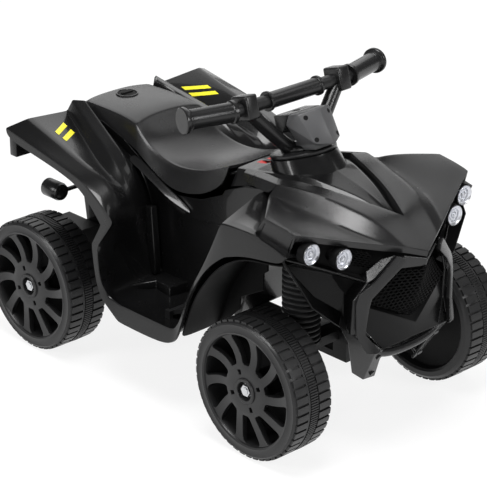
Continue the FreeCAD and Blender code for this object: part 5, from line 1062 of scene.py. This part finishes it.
pod_finish = moulded("pod_grey", 0.06, 0.08, 0.4, 0.1, 1300.0, 0.0004, Specular_IOR_Level=0.4)
POD_RIDGE = ((47.5, 0, 68.5), (65.2, 0, 18.5))
POD_TOP, POD_FOOT = (35, 30.5, 67), (53, 23.5, 24.5)
POD_SIDE = (POD_TOP, POD_FOOT, (16.2, 37.5, 55), (16.2, 30, 66.8), (30, 24, 24.5), (16.2, 22, 24.5))
POD_NECK_SIZE, POD_NECK_PLACE = (38, 40, 13), (27, 0, 21.6)
POD_SCREWS = ((0.26, 0.15), (0.18, 0.86))
POD_HEAD_PROFILE = ((0, -6), (3.4, -6), (3.4, 0.1), (2.9, 0.35), (2.2, 0.2), (0, 0.2), (0, -6))
POD_HEAD_STEPS = 24
pod = bmesh.new()
for point in POD_RIDGE:
    pod.verts.new(point)
for x, y, z in POD_SIDE:
    pod.verts.new((x, y, z))
    pod.verts.new((x, -y, z))
bmesh.ops.convex_hull(pod, input=pod.verts)
bmesh.ops.dissolve_limit(pod, angle_limit=math.radians(2), verts=pod.verts, edges=pod.edges)
bmesh.ops.recalc_face_normals(pod, faces=pod.faces)
softened(pod, 1.1, 2, 12)
taken_in(pod, softened(block(POD_NECK_SIZE, POD_NECK_PLACE), 2.0))
pod_heads = bmesh.new()
for side in (1, -1):
    ridge_top, ridge_foot = (Vector(point) for point in POD_RIDGE)
    edge_top, edge_foot = (Vector((x, y * side, z)) for x, y, z in (POD_TOP, POD_FOOT))
    outward = (ridge_foot - edge_top).cross(edge_foot - ridge_top).normalized() * side
    aim = outward.to_track_quat("Z", "X").to_matrix().to_4x4()
    for inwards, down in POD_SCREWS:
        upper, lower = edge_top.lerp(ridge_top, inwards), edge_foot.lerp(ridge_foot, inwards)
        place = Matrix.Translation(upper.lerp(lower, down))
        taken_in(pod_heads, placed(spun(POD_HEAD_PROFILE, POD_HEAD_STEPS), place @ aim))
for mesh in (pod, pod_heads):
    placed(mesh, COLUMN_TURN)
finish_piece("pod_front_cover_moulding", pod, "handlebar", "black_moulding", pod_finish, "pod_front_cover")
finish_piece("pod_screw_heads", pod_heads, "handlebar", "black_steel", black_and_painted_shade_finish, "pod_screws")

# Exhaust tips: short hollow tubes of black plastic for show, each on a thin stalk that is
# pushed into the body below the rear fender.

EXHAUST_PROFILE = (
    (0, 6), (13.2, 6), (13.9, 7), (13.9, 35), (13.2, 36), (11.2, 36), (10.6, 35), (10.6, 20), (0, 20),
    (0, 6),
)
EXHAUST_CAP = ((0, 0), (9, 0.4), (12.4, 2.6), (13.2, 6), (0, 6), (0, 0))
EXHAUST_X, EXHAUST_Y, EXHAUST_Z = -270, 120, 219
STALK_X, STALK_YS, STALK_RADIUS, STALK_SIDES = -277, (69.4, 90, 112), 3.4, 16
tips = bmesh.new()
for side in (1, -1):
    backwards = Matrix.Translation((EXHAUST_X, EXHAUST_Y * side, EXHAUST_Z))
    backwards = backwards @ Matrix.Rotation(math.radians(-90), 4, "Y")
    for profile in (EXHAUST_PROFILE, EXHAUST_CAP):
        taken_in(tips, placed(spun(profile), backwards))
    stalk = [(STALK_X, y * side, EXHAUST_Z) for y in STALK_YS]
    taken_in(tips, tube(stalk, STALK_RADIUS, STALK_SIDES))
finish_piece("exhaust_moulding", tips, "chassis", "black_moulding", satin_finish, "exhaust_tips")

# Studio: a wide pale floor that turns white away from the quad, soft lamps round it, and
# the camera at the front right.

FLOOR_HALF = 80.0
FLOOR_WHITE, NEAR_WHITE, FAR_WHITE = 1.05, 0.8, 1.0
NEAR_FLOOR, FAR_FLOOR = 0.5, 1.3
floor_shape = bmesh.new()
bmesh.ops.create_grid(floor_shape, x_segments=1, y_segments=1, size=FLOOR_HALF)
floor_data = bpy.data.meshes.new("floor")
floor_shape.to_mesh(floor_data)
floor_shape.free()
floor = bpy.data.objects.new("floor", floor_data)
bpy.context.scene.collection.objects.link(floor)
floor_finish = Finish("floor_white", Roughness=0.9, Specular_IOR_Level=0.0)
floor_finish.tint((0.95, 0.95, 0.95), (0.97, 0.97, 0.97), 2.0)
paths = [
    floor_finish.node("ShaderNodeLightPath", output=kind)
    for kind in ("Is Camera Ray", "Is Glossy Ray", "Is Transmission Ray")
]
distance = floor_finish.node(
    "ShaderNodeVectorMath", {"operation": "LENGTH"}, {0: floor_finish.place}, "Value",
)
whiteness = floor_finish.node("ShaderNodeMapRange", None, {
    "Value": distance, "From Min": NEAR_FLOOR, "From Max": FAR_FLOOR,
    "To Min": NEAR_WHITE, "To Max": FAR_WHITE,
})
white = floor_finish.node("ShaderNodeEmission", None, {"Strength": FLOOR_WHITE})
painted = Value(floor_finish, floor_finish.shader.outputs[0])
lit = floor_finish.node(
    "ShaderNodeMixShader", None, {0: (paths[0] + paths[1] + paths[2]) * whiteness, 1: painted, 2: white},
)
floor_finish.set(floor_finish.tree.nodes["Material Output"].inputs["Surface"], lit)
floor_data.materials.append(floor_finish.material)

ROOM_LIGHT = 0.14
world = bpy.data.worlds.new("studio")
world.use_nodes = True
room = world.node_tree.nodes["Background"]
room.inputs["Color"].default_value = (1.0, 1.0, 1.0, 1.0)
room.inputs["Strength"].default_value = ROOM_LIGHT
bpy.context.scene.world = world

LIGHTS = (
    ("softbox_top", (0.3, -0.4, 2.4), (0.0, 0.0, 0.2), 1.0, 44.0),
    ("softbox_back", (-1.85, 2.1, 2.1), (0.0, 0.0, 0.2), 3.0, 36.0),
    ("softbox_left", (0.82, 1.72, 2.18), (0.3, 0.0, 0.3), 1.0, 5.0),
    ("softbox_side", (-0.8, -2.4, 1.3), (0.0, 0.0, 0.2), 0.8, 24.0),
    ("softbox_front", (2.5, 0.7, 1.5), (0.1, 0.0, 0.2), 0.8, 24.0),
    ("softbox_low", (1.6, -2.2, 0.9), (0.2, 0.0, 0.2), 0.4, 14.0),
)
for name, place, target, size, power in LIGHTS:
    lamp = bpy.data.lights.new(name, "AREA")
    lamp.size = size
    lamp.energy = power
    holder = bpy.data.objects.new(name, lamp)
    holder.location = place
    holder.rotation_euler = (Vector(target) - Vector(place)).to_track_quat("-Z", "Y").to_euler()
    bpy.context.scene.collection.objects.link(holder)

CAMERA_PLACE, CAMERA_DOWN, CAMERA_ROUND = (2.02796, -1.91933, 1.39625), 23.6089, 46.6485
CAMERA_SENSOR, CAMERA_LENS, CAMERA_REACH = 36.0, 151.5, 300.0
camera_data = bpy.data.cameras.new("camera")
camera_data.sensor_width = CAMERA_SENSOR
camera_data.sensor_fit = "AUTO"
camera_data.lens = CAMERA_LENS
camera_data.clip_end = CAMERA_REACH
camera = bpy.data.objects.new("camera", camera_data)
camera.location = CAMERA_PLACE
camera.rotation_euler = (math.radians(90 - CAMERA_DOWN), 0.0, math.radians(CAMERA_ROUND))
bpy.context.scene.collection.objects.link(camera)
bpy.context.scene.camera = camera
bpy.context.scene.view_settings.view_transform = "Standard"
